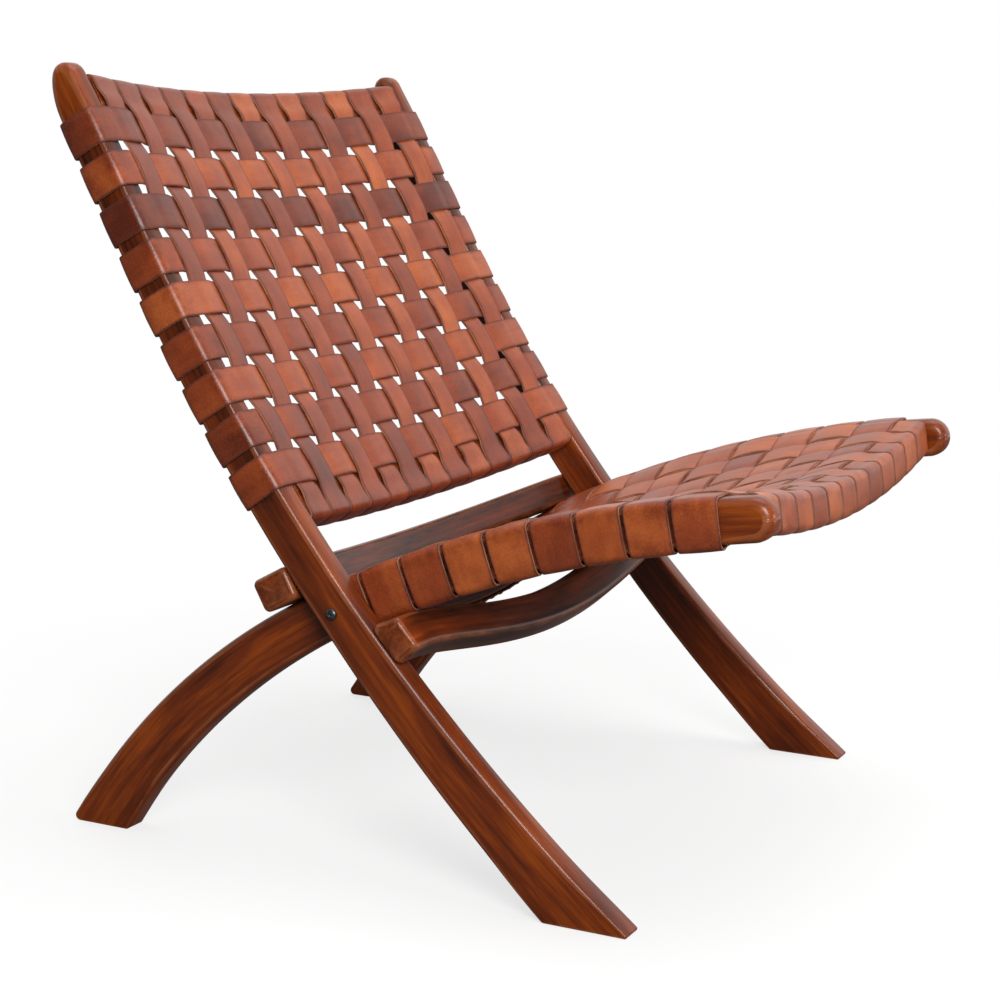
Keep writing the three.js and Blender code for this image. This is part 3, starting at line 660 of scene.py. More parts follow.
def strap_section(width, corner, crown):
    """A flat strap's section as (across, height): a rounded rectangle with a crowned face.

    The rim value is 1 on the cut edges and 0 on the faces. The border value rises toward the edges, where
    it paints shade on the face.
    """
    half, thick = width / 2, LEATHER / 2
    turn = np.radians(np.linspace(0, 90, 4))
    flat = np.array([0.015, 0.045, 0.12, 0.3, 0.5, 0.7, 0.88, 0.955, 0.985])
    across, height, rim = [], [], []
    for quarter, (side, face) in enumerate([(1, 1), (1, -1), (-1, -1), (-1, 1)]):
        swing = turn if quarter % 2 == 0 else turn[::-1]
        across.append(side * (half - corner + corner * np.sin(swing)))
        height.append(face * (thick - corner + corner * np.cos(swing)))
        rim.append(smooth(np.sin(swing), 0.55, 1.0))
        if quarter % 2:
            span = between(side * (half - corner), -side * (half - corner), flat)
            across.append(span)
            height.append(np.full_like(flat, face * thick))
            rim.append(np.zeros_like(flat))
    across, height, rim = (np.concatenate(part) for part in (across, height, rim))
    height = height + crown * (1 - (across / half) ** 2) - crown / 2
    border = smooth(np.abs(across), half - BORDER, half) ** 2
    return across, height, rim, border


def strap_piece(name, grid, face, section, tone, seed, material, body):
    """Sweeps the strap's section: each point is the leather's middle plus its face times the height."""
    across, height, rim, border = section
    points = grid + face * height[None, :, None]
    stations, ring = grid.shape[:2]
    steps = np.linalg.norm(np.diff(grid.mean(1), axis=0), axis=-1)
    travel = np.concatenate([[0.0], np.cumsum(steps)])
    travel_all, across_all = np.broadcast_arrays(travel[:, None] * MM, across[None] * MM)
    lay = np.stack([travel_all, across_all, np.full((stations, ring), seed * CUT_STEP)], -1)
    # How sharply the strap turns at each station and near it, by a bell curve
    turn = np.linalg.norm(np.diff(face[:, ring // 2], axis=0), axis=-1)
    reach = np.abs(travel[:, None] - (travel[1:] + travel[:-1])[None] / 2)
    bend = np.clip((turn[None] * np.exp(-((reach / BEND_SPREAD) ** 2))).sum(-1) / FULL_BEND, 0, 1)
    flat = points.reshape(-1, 3)
    attributes = {
        "lay": lay.reshape(-1, 3),
        "tone": np.full(len(flat), tone),
        "bend": np.repeat(bend, ring),
        "rim": np.tile(rim, stations),
        "border": np.tile(border, stations),
    }
    faces = tube_faces(stations, ring, faces_inward(flat, stations, ring))
    mesh_piece(name + "_leather", flat, faces, material, body, (name,), attributes)


def cross_strap_grid(panel, number, section, puff):
    """Across the panel from the wrap on one member to the wrap on the other.

    The pinched straps lie flat on the members, as the stiles pass close beside them.
    """
    member = panel.member
    place = panel.cross_place(number) + section[0]
    half = BOARD / 2
    turns = []
    sides = dict(panel.sides, swell=0.0) if number <= panel.pinched else panel.sides
    for side in (RIGHT, LEFT):
        out, up, face_out, face_up = wrap_stations(half, member.depth(place) / 2, **sides)
        normal, line = member.normal(place)[None], member.line(place)[None]
        points = upright(side * (member.inner + half + out), line + normal * up[..., None])
        turns.append((points, upright(side * face_out, normal * face_up[..., None])))
    x = np.linspace(-member.inner - 2, member.inner + 2, ACROSS_STEPS)
    # The weave fades out from the outermost long strap to the boards
    last = panel.long_x(panel.long_count)
    fade = 1 - smooth(np.abs(x) - last, 5.0, member.inner - last + 1)
    phase = x / panel.long_pitch + (panel.long_count - 1) / 2
    lift = -panel.sign(1, number) * panel.wave(phase, puff) * fade
    points, face = panel.surface(x[:, None], place[None, :], lift[:, None])
    (right, right_face), (left, left_face) = turns
    grid = np.concatenate([right[::-1], points, left])
    return grid, np.concatenate([right_face[::-1], face, left_face])


def long_strap_grid(panel, number, section, puff):
    """From the wrap on one rail, over and under the cross straps, to the wrap on the other.

    The strap spreads as it turns round the rails: its width grows in a straight line from the last
    cross strap's edge to the rail's outer corner, where it nearly meets its neighbours.
    """
    middle = panel.long_x(number)
    x = middle + section[0] * panel.rail_spread
    turns = []
    for rail, way in ((panel.low, -1), (panel.high, 1)):
        half_up = np.full_like(x, rail.depth / 2)
        out, up, face_out, face_up = wrap_stations(rail.width / 2, half_up, **RAIL_WRAP)
        turns.append((rail.point(x[None], way * out, up), rail.direction(way * face_out, face_up)))
    first, last = panel.cross_place(1), panel.cross_place(panel.cross_count)
    low_end = panel.low.place - panel.low.width / 2 + TURN_END
    high_end = panel.high.place + panel.high.width / 2 - TURN_END
    place = np.linspace(low_end, high_end, int((high_end - low_end) / ALONG_STEP))
    reach = panel.cross_width / 2
    low_full, high_full = min(first - reach + 3, low_end + REST), max(last + reach - 3, high_end - REST)
    fade_low = smooth(place, low_full - FADE, low_full)
    fade_high = 1 - smooth(place, high_full, high_full + FADE)
    phase = (place - first) / panel.cross_pitch
    woven = panel.sign(number, 1) * panel.wave(phase, puff)
    lift = woven * fade_low * fade_high
    lift = lift - panel.low.drop * (1 - fade_low) - panel.high.drop * (1 - fade_high)
    on_low = np.clip((first - reach - place) / (first - reach - low_end), 0, 1)
    on_high = np.clip((place - last - reach) / (high_end - last - reach), 0, 1)
    spread = 1 + (panel.rail_spread - 1) * (on_low + on_high)
    points, face = panel.surface(middle + section[0] * spread[:, None], place[:, None], lift[:, None])
    (low, low_face), (high, high_face) = turns
    return np.concatenate([low[::-1], points, high]), np.concatenate([low_face[::-1], face, high_face])


# How light each strap is, from 0 for dark to 1 for light. Cross straps are counted from the end beside the
# pivot, and long straps from the sitter's right
BACK_CROSS_TONES = (0.52, 0.40, 0.55, 0.42, 0.60, 0.48, 0.25, 0.55, 0.32)
BACK_UPRIGHT_TONES = (0.35, 0.40, 0.48, 0.42, 0.52, 0.38, 0.58, 0.45, 0.62, 0.40, 0.66, 0.45, 0.55)
SEAT_CROSS_TONES = (0.45, 0.62, 0.55, 0.66, 0.60, 0.46, 0.66, 0.62, 0.50)
SEAT_LONG_TONES = (0.66, 0.60, 0.64, 0.53, 0.63, 0.55, 0.57, 0.50, 0.65, 0.53, 0.60, 0.66)


def straps(context, panel, stem, body, cross_tones, long_tones, long_word, material):
    """All the straps of a panel, each cut a little differently."""
    look = context.scene.chair_leather
    chance = np.random.default_rng(len(long_tones))
    corner, crown, puff = look.corner / MM, look.crown / MM, look.puff / MM * panel.puff
    for tones, width, grid_of, word, seed in (
        (cross_tones, panel.cross_width, cross_strap_grid, "cross", 0),
        (long_tones, panel.long_width, long_strap_grid, long_word, 20),
    ):
        for number, tone in enumerate(tones, 1):
            section = strap_section(width + chance.uniform(-0.3, 0.3), corner, crown)
            grid, face = grid_of(panel, number, section, puff)
            name = f"{stem}_{word}_strap_{number}"
            strap_piece(name, grid, face, section, tone, number + seed, material, body)


def arc(first, second, steps):
    """Unit vectors that turn evenly from the first to the second, by the sines of the two shares."""
    total = np.arccos(np.clip(first @ second, -1, 1))
    part = np.linspace(0, 1, steps)[:, None]
    return (np.sin((1 - part) * total) * first + np.sin(part * total) * second) / np.sin(total)


def board_outline(member, toe_round, heel_round):
    """The board's outline in two halves of equal count, each from the sole to the top of the tip.

    Each half is the foot's rounded corner, the long edge and half of the tip, which is a quarter
    circle on the sitter's side and a quarter ellipse on the other.
    """
    halves = []
    front_place = member.tip_reach - member.tip_front
    rear_place = member.tip_reach - member.tip_rear
    peak = member.depth(front_place) / 2 - member.tip_front
    rear_half = peak + member.depth(rear_place) / 2
    for side, radius, place in ((1, toe_round, front_place), (-1, heel_round, rear_place)):
        foot = member.foot_place(side)
        corner = member.edge(foot, side)
        edge_along = unit(member.edge(foot + 1, side) - member.edge(foot - 1, side))
        edge_normal = side * member.lean * np.array([-edge_along[1], edge_along[0]])
        down = np.array([0.0, -1.0])
        centre = corner - radius * (edge_normal + down) / (1 + edge_normal @ down)
        start = foot + abs((centre + radius * edge_normal - corner) @ edge_along)
        wide, tall = (member.tip_front, member.tip_front) if side > 0 else (rear_half, member.tip_rear)
        turn = np.radians(np.linspace(90 - side * 90, 90, TIP_STEPS))
        across = peak + wide * np.cos(turn)
        short = tall * (1 - np.sin(turn))
        tip = (
            member.line(front_place)
            + member.normal(front_place) * across[:, None]
            + member.along(front_place) * (member.tip_front - short)[:, None]
        )
        body = member.edge(between(start, place, even_shares(EDGE_STEPS)), side)
        halves.append(np.concatenate([centre + radius * arc(down, edge_normal, CORNER_STEPS), body, tip]))
    return halves


def board_rim(member, side, outline, arris, foot_round):
    """Rings of points round the outline, on a half circle from one face of the board to the other.

    Its radius shrinks toward the foot and grows on the tip. Gives the wear and painted highlight of each
    ring too.
    """
    front, rear = outline
    count = len(front)
    loop = np.concatenate([front, rear[::-1]])
    tangent = unit(np.roll(loop, -1, 0) - np.roll(loop, 1, 0))
    # The halves share the top of the tip, so its tangent is taken from the points beyond
    tangent[count - 1] = tangent[count] = unit(loop[count + 1] - loop[count - 2])
    outward = np.stack([tangent[:, 1], -tangent[:, 0]], -1)
    if ((loop - loop.mean(0)) * outward).sum() < 0:
        outward = -outward
    whole = smooth(loop[:, 1], FOOT_ARRIS["low"], FOOT_ARRIS["high"])
    start, full = member.tip_reach - TIP_ARRIS["start"], member.tip_reach - TIP_ARRIS["full"]
    radius = between(foot_round * FOOT_ARRIS["share"], arris, whole)
    radius = radius + TIP_ARRIS["more"] * smooth(member.nearest_place(loop), start, full)
    turn = np.radians(np.linspace(-90, 90, RIM_STEPS))
    inset = radius[None] * (1 - np.cos(turn))[:, None]
    centre = side * (member.inner + BOARD / 2)
    x = centre + np.sign(turn)[:, None] * (BOARD / 2 - radius) + radius * np.sin(turn)[:, None]
    x[RIM_STEPS // 2] = centre
    # A ring just inside each end of the half circle keeps the flat faces flat
    inset = np.concatenate([inset[:1] + HOLD, inset, inset[-1:] + HOLD])
    x = np.concatenate([x[:1], x, x[-1:]])
    wear_and_highlight = np.clip(np.concatenate([[0.0], -np.cos(2 * turn), [0.0]]), 0, 1)
    return upright(x, loop[None] - outward[None] * inset[..., None]), wear_and_highlight


def board_faces(rim):
    """Points and quads of the rim and of both flat faces.

    A face's points are shares of the way from one half of the outline to the other.
    """
    rings, around = rim.shape[:2]
    count = around // 2
    shares = even_shares(FACE_STEPS)[None, :, None]
    blocks, faces, start = [rim.reshape(-1, 3)], [grid_quads(rings, around)], rings * around
    for ring in (0, rings - 1):
        first, second = rim[ring, :count, None], rim[ring, count:][::-1, None]
        blocks.append(between(first, second, shares).reshape(-1, 3))
        spans = start + np.arange(count * FACE_STEPS).reshape(count, -1)
        edge = np.arange(count)[:, None]
        index = np.concatenate([ring * around + edge, spans, ring * around + around - 1 - edge], 1)
        corners = index[:-1, :-1], index[1:, :-1], index[1:, 1:], index[:-1, 1:]
        quads = np.stack(corners, -1).reshape(-1, 4)
        faces.append(quads if ring else quads[:, ::-1])
        start += spans.size
    points, quads = np.concatenate(blocks), np.concatenate(faces)
    return points, quads if volume(points, quads) > 0 else quads[:, ::-1]


def board_tint(member, place):
    """Lighter toward the tips, and darker between the straps with painted shade, where the wraps shade the
    wood.
    """
    panel = BACK if member is STILE else SEAT
    first = panel.cross_place(1) - panel.cross_width / 2
    last = panel.cross_place(panel.cross_count) + panel.cross_width / 2
    woven = smooth(place, first - 4, first) * (1 - smooth(place, last - 4, last))
    near_tip = smooth(place, member.tip_reach - 90, member.tip_reach - 30)
    return TIP_LIGHTEN * near_tip + SHADE_BETWEEN_STRAPS * woven


def board_piece(name, member, side, arris, toe_round, heel_round, material, body):
    """A board sawn to the outline, with its grain along the member, across it and through it."""
    outline = board_outline(member, toe_round, heel_round)
    rim, wear_and_highlight = board_rim(member, side, outline, arris, min(toe_round, heel_round))
    points, quads = board_faces(rim)
    flat = points[:, 1:]
    place = member.nearest_place(flat)
    across = ((flat - member.line(place)) * member.normal(place)).sum(-1)
    through = points[:, 0] - side * (member.inner + BOARD / 2)
    along, beside, deep = BOARD_IN_LOG
    attributes = {
        "grain": np.stack([place + along * side, across + beside, through + deep], -1) * MM,
        "arris": np.pad(np.repeat(wear_and_highlight, rim.shape[1]), (0, len(points) - rim.shape[0] * rim.shape[1])),
        "tint": board_tint(member, place),
    }
    mesh_piece(name + "_wood", points, quads.tolist(), material, body, (name,), attributes)


def volume(points, quads):
    """Six times the volume that the quads close, summed as two triangles each."""
    a, b, c, d = (points[quads[:, i]] for i in range(4))
    return (a * np.cross(b, c)).sum() + (a * np.cross(c, d)).sum()


def eased_section(corners, radius):
    """A convex section with its arrises rounded: an arc at each corner, and its flats held straight."""
    corners = np.asarray(corners, float)
    middle = corners.mean(0)
    points, wear_and_highlight = [], []
    for i, corner in enumerate(corners):
        following = corners[(i + 1) % len(corners)]
        faces, ways = [], []
        for a, b in ((corners[i - 1], corner), (corner, following)):
            face = unit(np.array([b[1] - a[1], a[0] - b[0]]))
            faces.append(face if face @ (a - middle) > 0 else -face)
            ways.append(unit(b - a))
        before, after = faces
        centre = corner - radius * (before + after) / (1 + before @ after)
        behind = centre + radius * before - ways[0] * HOLD
        ahead = centre + radius * after + ways[1] * HOLD
        points += [behind[None], centre + radius * arc(before, after, EASED_STEPS), ahead[None]]
        wear_and_highlight += [np.zeros(1), np.sin(np.pi * np.linspace(0, 1, EASED_STEPS)), np.zeros(1)]
    return np.concatenate(points), np.concatenate(wear_and_highlight)


def beam_piece(name, rings, wear_and_highlight, material, body, end_round, tint=0.0):
    """A beam along X through rings of points, its ends rounded over by shrinking the last rings.

    The grain follows the beam: distance along it, then the two distances across. The tint darkens the
    beam from 5 to 30 mm in from its ends, as painted shade where the seat shades a stop bar.
    """
    stations, ring = rings.shape[:2]
    centres = rings.mean(1, keepdims=True)
    turn = np.radians(np.linspace(0, 90, END_STEPS + 1))[1:]
    extra = []
    for end, way in ((0, -1), (stations - 1, 1)):
        reach = rings[end] - centres[end]
        size = np.linalg.norm(reach, axis=-1, keepdims=True)
        inset = end_round * (1 - np.cos(turn))[:, None, None]
        shrunk = centres[end] + reach[None] * (1 - inset / size[None])
        advance = np.zeros_like(shrunk)
        advance[..., 0] = way * end_round * np.sin(turn)[:, None]
        last = shrunk[-1:] - (reach * HOLD / size)[None]
        last[..., 0] += way * end_round
        extra.append(np.concatenate([shrunk + advance, last]))
    full = np.concatenate([extra[0][::-1], rings, extra[1]])
    flat, total = full.reshape(-1, 3), full.shape[0]
    grain = full - full.mean(1, keepdims=True)
    grain[..., 0] = full[..., 0]
    # The rounded ends get the same pale mark as the arrises: rubbed stain and painted highlight
    rub_and_highlight = np.repeat(wear_and_highlight[None], total, 0)
    for ends in (slice(2, 6), slice(-6, -2)):
        rub_and_highlight[ends] = np.maximum(rub_and_highlight[ends], 0.9)
    inward = full[..., 0].max() - np.abs(full[..., 0])
    piece_name = name + "_wood"
    attributes = {
        # Each beam is sawn from another part of the log
        "grain": grain.reshape(-1, 3) * MM + np.array([len(piece_name), 1, 1]) * BEAM_IN_LOG,
        "arris": rub_and_highlight.ravel(),
        "tint": (tint * smooth(inward, 5, 30)).ravel(),
    }
    faces = tube_faces(total, ring, faces_inward(flat, total, ring))
    mesh_piece(piece_name, flat, faces, material, body, (name,), attributes)


def rail_piece(name, rail, material, body):
    """A bowed rail between two members: its section follows the bow."""
    wide, deep = rail.width / 2, rail.depth / 2
    corners = (wide, deep), (-wide, deep), (-wide, -deep), (wide, -deep)
    section, wear_and_highlight = eased_section(corners, WRAP_RADIUS)
    end = rail.member.inner - GAP
    x = np.linspace(-end, end, BEAM_STEPS)
    rings = rail.point(x[:, None], section[None, :, 0], section[None, :, 1])
    beam_piece(name, rings, wear_and_highlight, material, body, end_round=0.2)


def bar_piece(name, corners, bow, material, body):
    """A stop bar bowed between the stiles, by the power one and a half of one minus the share squared."""
    section, wear_and_highlight = eased_section(corners, radius=5.5)
    end_round = 5.0
    end = FRAME_WIDTH / 2 - end_round
    bowed = np.linspace(-STILE_INNER, STILE_INNER, BEAM_STEPS)
    x = np.concatenate([[-end, -end + 1], bowed, [end - 1, end]])[:, None]
    hang = np.maximum(0, 1 - (x / STILE_INNER) ** 2) ** 1.5
    rings = upright(x, section[None] + bow * hang[..., None])
    # The stop bars are darker away from their ends: painted shade of the seat above them
    beam_piece(name, rings, wear_and_highlight, material, body, end_round, BAR_SHADE)


def packed_bar(name):
    """The four corners of a stop bar's packed end, and the way that the bar bows from it.

    The end has eight points, two at each eased corner, so its sides are drawn out until they meet.
    """
    mesh = frame["nodes"][name].data
    points = np.empty(len(mesh.vertices) * 3, np.float32)
    mesh.vertices.foreach_get("co", points)
    points = points.reshape(-1, 3) / MM
    pivot = np.array([PIVOT[1] / MM, 0.0])
    # The bar's ends are flat, so its outermost millimetre holds the end's points alone
    end = points[points[:, 0] > points[:, 0].max() - 1][:, 1:]
    flat = np.unique(end.round(2), axis=0) - pivot
    flat = flat[np.argsort(np.arctan2(*(flat - flat.mean(0)).T[::-1]))]
    # Neighbouring points that are closer than a side is long belong to one corner
    gaps = np.linalg.norm(np.roll(flat, -1, 0) - flat, axis=-1)
    if gaps[0] > gaps[1]:
        flat = np.roll(flat, -1, 0)
    corners = []
    for i in range(0, 8, 2):
        along, other = flat[i] - flat[i - 1], flat[(i + 2) % 8] - flat[i + 1]
        steps = np.linalg.solve(np.stack([along, -other], 1), flat[i + 1] - flat[i - 1])
        corners.append(flat[i - 1] + along * steps[0])
    middle = points[np.abs(points[:, 0]) < 1][:, 1:].mean(0) - pivot
    return corners, unit(middle - flat.mean(0))


class CHAIR_OT_members(bpy.types.Operator):
    """Stiles and seat side rails"""

    bl_idname = "chair.members"
    bl_label = "Stiles and side rails"

    def execute(self, context):
        look = context.scene.chair_wood
        wood = lacquered_wood(look)
        for hand, side in HANDS.items():
            for stem, member, toe, heel, body in (
                ("stile_", STILE, 2.0, 5.0, OUTER),
                ("seat_side_rail_", SIDE_RAIL, 5.0, 2.0, INNER),
            ):
                board_piece(stem + hand, member, side, look.arris / MM, toe, heel, wood, body)
        return {"FINISHED"}


class CHAIR_OT_rails(bpy.types.Operator):
    """Bowed rails that the long straps go round"""

    bl_idname = "chair.rails"
    bl_label = "Rails"

    def execute(self, context):
        wood = bpy.data.materials[WOOD]
        for name, rail, body in (
            ("back_bottom_rail", BACK.low, OUTER),
            ("back_top_rail", BACK.high, OUTER),
            ("seat_rear_rail", SEAT.low, INNER),
            ("seat_front_rail", SEAT.high, INNER),
        ):
            rail_piece(name, rail, wood, body)
        return {"FINISHED"}


class CHAIR_OT_bars(bpy.types.Operator):
    """Bowed stop bars that hold the frames open"""

    bl_idname = "chair.bars"
    bl_label = "Stop bars"

    def execute(self, context):
        wood = bpy.data.materials[WOOD]
        for name, bow in (("rear_stop_bar", 25.0), ("front_stop_bar", 29.0)):
            corners, way = packed_bar(name)
            bar_piece(name, corners, way * bow, wood, INNER)
        return {"FINISHED"}


class CHAIR_OT_back(bpy.types.Operator):
    """Woven leather of the back"""

    bl_idname = "chair.back"
    bl_label = "Back straps"

    def execute(self, context):
        leather = tanned_leather(context.scene.chair_leather)
        straps(context, BACK, "back", OUTER, BACK_CROSS_TONES, BACK_UPRIGHT_TONES, "upright", leather)
        return {"FINISHED"}


class CHAIR_OT_seat(bpy.types.Operator):
    """Woven leather of the seat"""

    bl_idname = "chair.seat"
    bl_label = "Seat straps"

    def execute(self, context):
        leather = bpy.data.materials[HIDE]
        straps(context, SEAT, "seat", INNER, SEAT_CROSS_TONES, SEAT_LONG_TONES, "long", leather)
        return {"FINISHED"}


def turned_piece(name, profile, hexagon, material, closed):
    """A turned fastener along X round the pivot line: radius times cosine and sine at each profile row.

    The rows named in hexagon have their radius divided by the cosine of the turn from a flat's middle.
    Closed ones have a bore, so their last row meets the first.
    """
    radius, x = (np.asarray(part, float)[:, None] for part in zip(*profile))
    turn = np.linspace(0, 2 * np.pi, FASTENER_SIDES, endpoint=False)
    sixth = np.pi / 3
    flat = 1 / np.cos((turn + sixth / 2) % sixth - sixth / 2) * np.cos(sixth / 2)
    ring = radius * np.where(np.isin(np.arange(len(radius)), hexagon)[:, None], flat, 1.0)
    round_pivot = np.stack([ring * np.cos(turn), PIVOT[2] / MM + ring * np.sin(turn)], -1)
    points = upright(x, round_pivot).reshape(-1, 3)
    quads = grid_quads(len(radius), FASTENER_SIDES, closed)
    inside_out = volume(points, quads) < 0
    if closed:
        faces = quads[:, :: -1 if inside_out else 1].tolist()
    else:
        faces = tube_faces(len(radius), FASTENER_SIDES, inside_out)
    mesh_piece(name + "_steel", points, faces, material, OUTER, (name,))


class CHAIR_OT_bolts(bpy.types.Operator):
    """Pivot bolts with their washers and nuts"""

    bl_idname = "chair.bolts"
    bl_label = "Pivot bolts"

    def execute(self, context):
        metal = context.scene.chair_metal
        # The finish is uneven over about 3 mm
        steel = worn_metal("blackened steel", metal.blackened, roughness=0.38, steps=330)
        head = FRAME_WIDTH / 2 + GAP
        washer = SIDE_RAIL_INNER - GAP
        washer_end = washer - WASHER["thickness"]
        nut = washer_end - GAP
        nut_end = nut - NUT["thickness"]
        end = nut_end - NUT["bolt_end"]
        bore = BOLT["radius"] + GAP
        radius, head_radius, rim = BOLT["radius"], BOLT["head_radius"], BOLT["rim"]
        crown = BOLT["head_height"] - rim
        dome = np.radians(np.linspace(0, BOLT["dome_degrees"], 9))
        top = head + BOLT["head_height"]
        socket, floor = BOLT["socket_radius"], top - BOLT["socket_depth"]
        tip_chamfer, edge, lip = BOLT["tip_chamfer"], BOLT["head_edge"], BOLT["socket_chamfer"]
        # The socket's lip lies a little under the top, and the drill leaves a shallow cone in its floor
        dip = 0.1
        bolt_rows = [
            (radius - tip_chamfer, end), (radius, end + tip_chamfer), (radius, head),
            (head_radius - edge, head), (head_radius, head + edge),
            *((head_radius * np.cos(t), head + rim + crown * np.sin(t)) for t in dome),
            (socket + lip, top - dip), (socket, top - lip), (socket, floor), (socket / 2, floor - dip),
        ]
        outer, edge = WASHER["radius"], WASHER["edge"]
        washer_rows = [
            (bore, washer), (outer - edge, washer), (outer, washer - edge),
            (outer, washer_end + edge), (outer - edge, washer_end), (bore, washer_end),
        ]
        outer, inset, chamfer = NUT["radius"], NUT["face_inset"], NUT["chamfer"]
        nut_rows = [
            (bore, nut), (outer - inset, nut), (outer, nut - chamfer),
            (outer, nut_end + chamfer), (outer - inset, nut_end), (bore, nut_end),
        ]
        socket_rows = (len(bolt_rows) - 3, len(bolt_rows) - 2)
        for hand, side in HANDS.items():
            for word, rows, hexagon, closed in (
                ("bolt", bolt_rows, socket_rows, False),
                ("washer", washer_rows, (), True),
                ("nut", nut_rows, (2, 3), True),
            ):
                profile = [(across, side * x) for across, x in rows]
                turned_piece(f"pivot_{word}_{hand}", profile, hexagon, steel, closed)
        return {"FINISHED"}


def tack_heads(name, places, faces_out, radius, material, body):
    """Low domed heads: rings of points on a quarter circle profile, one head at each place."""
    around, dome, foot, sunk = 8, 0.38 * radius, 0.96 * radius, 0.5
    turn = np.linspace(0, 2 * np.pi, around, endpoint=False)
    side = unit(np.cross(faces_out, np.array([0.3, 0.5, 0.8])))
    other = np.cross(faces_out, side)
    ring = side[:, None] * np.cos(turn)[None, :, None] + other[:, None] * np.sin(turn)[None, :, None]
    # The lowest ring is sunk in the leather
    middle, out = places[:, None], faces_out[:, None]
    rows = [middle + ring * foot - out * sunk]
    for rise in np.radians([0, 35, 65]):
        rows.append(middle + ring * radius * np.cos(rise) + out * dome * np.sin(rise))
    top = places + faces_out * dome
    points = np.concatenate([np.stack(rows, 1).reshape(len(places), -1, 3), top[:, None]], 1)
    last = (len(rows) - 1) * around
    spot = np.arange(around)
    cap = np.stack([last + spot, last + (spot + 1) % around, np.full(around, last + around)], -1)
    faces = []
    for part in (grid_quads(len(rows), around), cap, spot[None, ::-1]):
        starts = np.arange(len(places))[:, None, None] * points.shape[1]
        faces += (part[None] + starts).reshape(-1, part.shape[1]).tolist()
    mesh_piece(name, points.reshape(-1, 3), faces, material, body)


class CHAIR_OT_tacks(bpy.types.Operator):
    """Tacks through the ends of the straps"""

    bl_idname = "chair.tacks"
    bl_label = "Tacks"

    def execute(self, context):
        metal = context.scene.chair_metal
        # The finish is uneven over about 2 mm
        steel = worn_metal("tumbled tack steel", metal.tack, roughness=0.35, steps=500)
        radius = metal.tack_radius / MM
        outside = STAND + LEATHER / 2
        for panel, stem, body in ((BACK, "back", OUTER), (SEAT, "seat", INNER)):
            member = panel.member
            places, ways = [], []
            across = np.array([-TACK["spread"], TACK["spread"]])
            numbers = np.arange(1, panel.cross_count + 1)[:, None]
            place = (panel.cross_place(numbers) + across[None] * panel.cross_width).ravel()
            normal = member.normal(place)
            flat = member.edge(place, -1) - normal * outside
            for side in HANDS.values():
                places.append(upright(side * (member.inner + BOARD - TACK["from_side"]), flat))
                ways.append(upright(0.0, -normal))
            for rail, way in ((panel.low, -1), (panel.high, 1)):
                numbers = np.arange(1, panel.long_count + 1)[:, None]
                x = (panel.long_x(numbers) + across[None] * panel.long_width).ravel()
                out = way * (rail.width / 2 - TACK["from_corner"])
                places.append(rail.point(x, out, -rail.depth / 2 - outside))
                ways.append(rail.direction(np.zeros(len(x)), -np.ones(len(x))))
            heads, faces_out = np.concatenate(places), np.concatenate(ways)
            tack_heads(stem + "_tacks", heads, faces_out, radius, steel, body)
        return {"FINISHED"}


class CHAIR_OT_stage(bpy.types.Operator):
    """Floor, lights, background and camera"""

    bl_idname = "chair.stage"
    bl_label = "Stage"

    def execute(self, context):
        stage = context.scene.chair_stage
        floor_disc(stage)
        soft_lights()
        white_background(context.scene)
        camera_from(stage, context.scene)
        context.scene.view_settings.view_transform = "Standard"
        return {"FINISHED"}


def floor_disc(stage):
    """A round floor, in rings of points, that turns into plain white away from the chair.

    It is white to the camera, and greyer where its light reaches the chair.
    """
    sides = 64
    radii = np.arange(1.0, 8.0)
    turn = np.linspace(0, 2 * np.pi, sides, endpoint=False)
    ring = np.stack([np.cos(turn), np.sin(turn), np.zeros_like(turn)], -1)
    points = (radii[:, None, None] * ring[None]).reshape(-1, 3)
    data = bpy.data.meshes.new("floor")
    faces = tube_faces(len(radii), sides, False)[:-1]
    data.from_pydata(points.tolist(), [], faces)
    material, tree, shader = new_material("pale studio floor")
    place = node(tree, "TexCoord", output="Object")
    far = node(tree, "VectorMath", {"operation": "LENGTH"}, output="Value", i0=place)
    (mottle,) = patterned(tree, place, (((3, 3, 3), 2.0, 0.5),))
    stops = [(0.3, shaded(stage.floor, 0.985)), (0.7, stage.floor)]
    pale = node(tree, "ValToRGB", stops=stops, Fac=mottle)
    seen = node(tree, "LightPath", output="Is Camera Ray")
    colour = node(tree, "Mix", MIX | {6: stage.bounce}, output=2, i0=seen, i7=pale)
    tree.links.new(colour, shader.inputs["Base Color"])
    shader.inputs["Roughness"].default_value = 0.9
    shader.inputs["Specular IOR Level"].default_value = 0.1
    limits = {"From Min": 0.4, "From Max": 1.0, "To Min": 0.68, "To Max": 1.0}
    away = node(tree, "MapRange", limits, Value=far)
    fade = node(tree, "Math", MULTIPLY, i0=away, i1=seen)
    white = node(tree, "Emission", {"Color": grey(1.0), "Strength": 1.0})
    mixed = node(tree, "MixShader", i0=fade, i1=shader.outputs[0], i2=white)
    tree.links.new(mixed, tree.nodes["Material Output"].inputs["Surface"])
    data.materials.append(material)
    floor_object = placed("floor", data)


def soft_lights():
    """Three soft boxes: a key at the sitter's right, a weaker one before the seat and one overhead."""
    target = Vector((0.0, 0.0, 0.35))
    boxes = (
        ("key", (-2.6, -2.0, 2.0), 1.5, 115.0),
        ("front", (1.2, -3.0, 0.35), 1.2, 40.0),
        ("overhead", (0.3, -0.3, 2.8), 1.8, 24.0),
    )
    for name, place, size, power in boxes:
        data = bpy.data.lights.new(name, "AREA")
        data.shape = "SQUARE"
        data.size = size
        data.energy = power
        lamp = placed(name, data)
        lamp.location = place
        lamp.visible_camera = False
        lamp.rotation_euler = (target - Vector(place)).to_track_quat("-Z", "Y").to_euler()


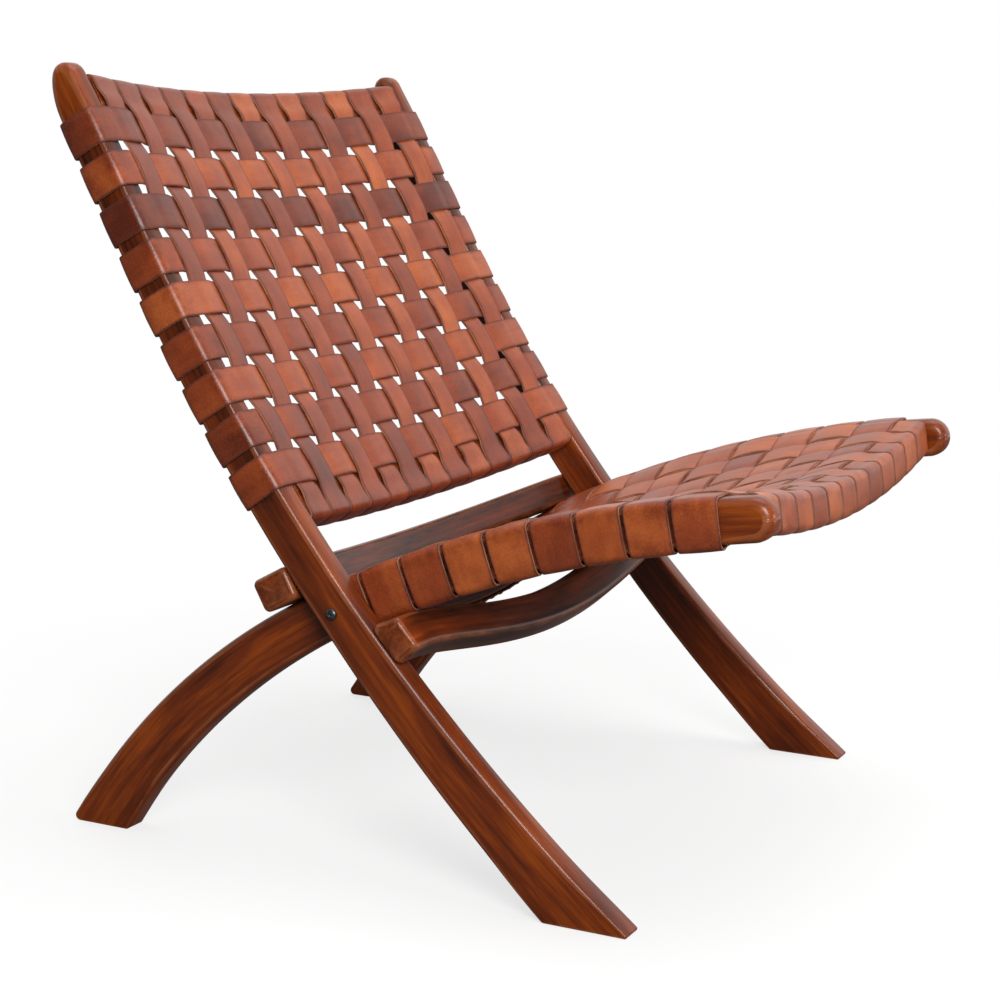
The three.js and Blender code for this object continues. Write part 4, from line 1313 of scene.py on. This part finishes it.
def white_background(scene):
    """White where the camera sees it.

    It lights the chair as a white backdrop behind it and a dark room in front of it do.
    """
    world = bpy.data.worlds.new("white studio")
    scene.world = world
    world.use_nodes = True
    tree = world.node_tree
    tree.nodes.clear()
    camera, glass = (
        node(tree, "LightPath", output=name) for name in ("Is Camera Ray", "Is Transmission Ray")
    )
    seen = node(tree, "Math", {"operation": "MAXIMUM"}, i0=camera, i1=glass)
    toward = node(tree, "TexCoord", output="Generated")
    settings = {"operation": "DOT_PRODUCT", 1: BACKDROP}
    facing = node(tree, "VectorMath", settings, output="Value", i0=toward)
    limits = {"From Min": -0.35, "From Max": 0.75, "To Min": 0.05, "To Max": 0.95}
    bright = node(tree, "MapRange", limits, Value=facing)
    lit = node(tree, "Background", {"Color": grey(1.0)}, Strength=bright)
    shown = node(tree, "Background", {"Color": grey(1.0), "Strength": 1.0})
    mixed = node(tree, "MixShader", i0=seen, i1=lit, i2=shown)
    node(tree, "OutputWorld", Surface=mixed)


def camera_from(stage, scene):
    """The camera's axes from its yaw, pitch and roll."""
    yaw, pitch, roll = stage.yaw, stage.pitch, stage.roll
    forward = np.array([np.sin(yaw) * np.cos(pitch), np.cos(yaw) * np.cos(pitch), np.sin(pitch)])
    level = unit(np.cross(forward, [0, 0, 1]))
    above = np.cross(level, forward)
    right = level * np.cos(roll) + above * np.sin(roll)
    up = above * np.cos(roll) - level * np.sin(roll)
    data = bpy.data.cameras.new("camera")
    data.lens = stage.lens
    data.sensor_width = 36.0
    camera = placed("camera", data)
    axes = np.stack([right, up, -forward], 1)
    matrix = Matrix(axes.tolist()).to_4x4()
    matrix.translation = Vector(stage.place)
    camera.matrix_world = matrix
    scene.camera = camera


class CHAIR_PT_panel(bpy.types.Panel):
    bl_label = "Lounge Chair"
    bl_idname = "CHAIR_PT_panel"
    bl_space_type = "VIEW_3D"
    bl_region_type = "UI"
    bl_category = "Lounge Chair"

    def draw(self, context):
        layout = self.layout
        for group in GROUPS:
            settings = getattr(context.scene, group)
            box = layout.box()
            for key in type(settings).__annotations__:
                box.prop(settings, key)
        for operator in OPERATORS:
            layout.operator(operator.bl_idname)


GROUPS = {
    "chair_wood": ChairWood,
    "chair_leather": ChairLeather,
    "chair_metal": ChairMetal,
    "chair_stage": ChairStage,
}
OPERATORS = (
    CHAIR_OT_members,
    CHAIR_OT_rails,
    CHAIR_OT_bars,
    CHAIR_OT_back,
    CHAIR_OT_seat,
    CHAIR_OT_bolts,
    CHAIR_OT_tacks,
    CHAIR_OT_stage,
)


def register():
    for cls in (*GROUPS.values(), *OPERATORS, CHAIR_PT_panel):
        bpy.utils.register_class(cls)
    for name, group in GROUPS.items():
        setattr(bpy.types.Scene, name, bpy.props.PointerProperty(type=group))


def unregister():
    for name in GROUPS:
        delattr(bpy.types.Scene, name)
    for cls in (CHAIR_PT_panel, *reversed(OPERATORS), *reversed(GROUPS.values())):
        bpy.utils.unregister_class(cls)


def main():
    register()
    for operator in OPERATORS:
        _, action = operator.bl_idname.split(".")
        getattr(bpy.ops.chair, action)()


if __name__ == "__main__":
    main()
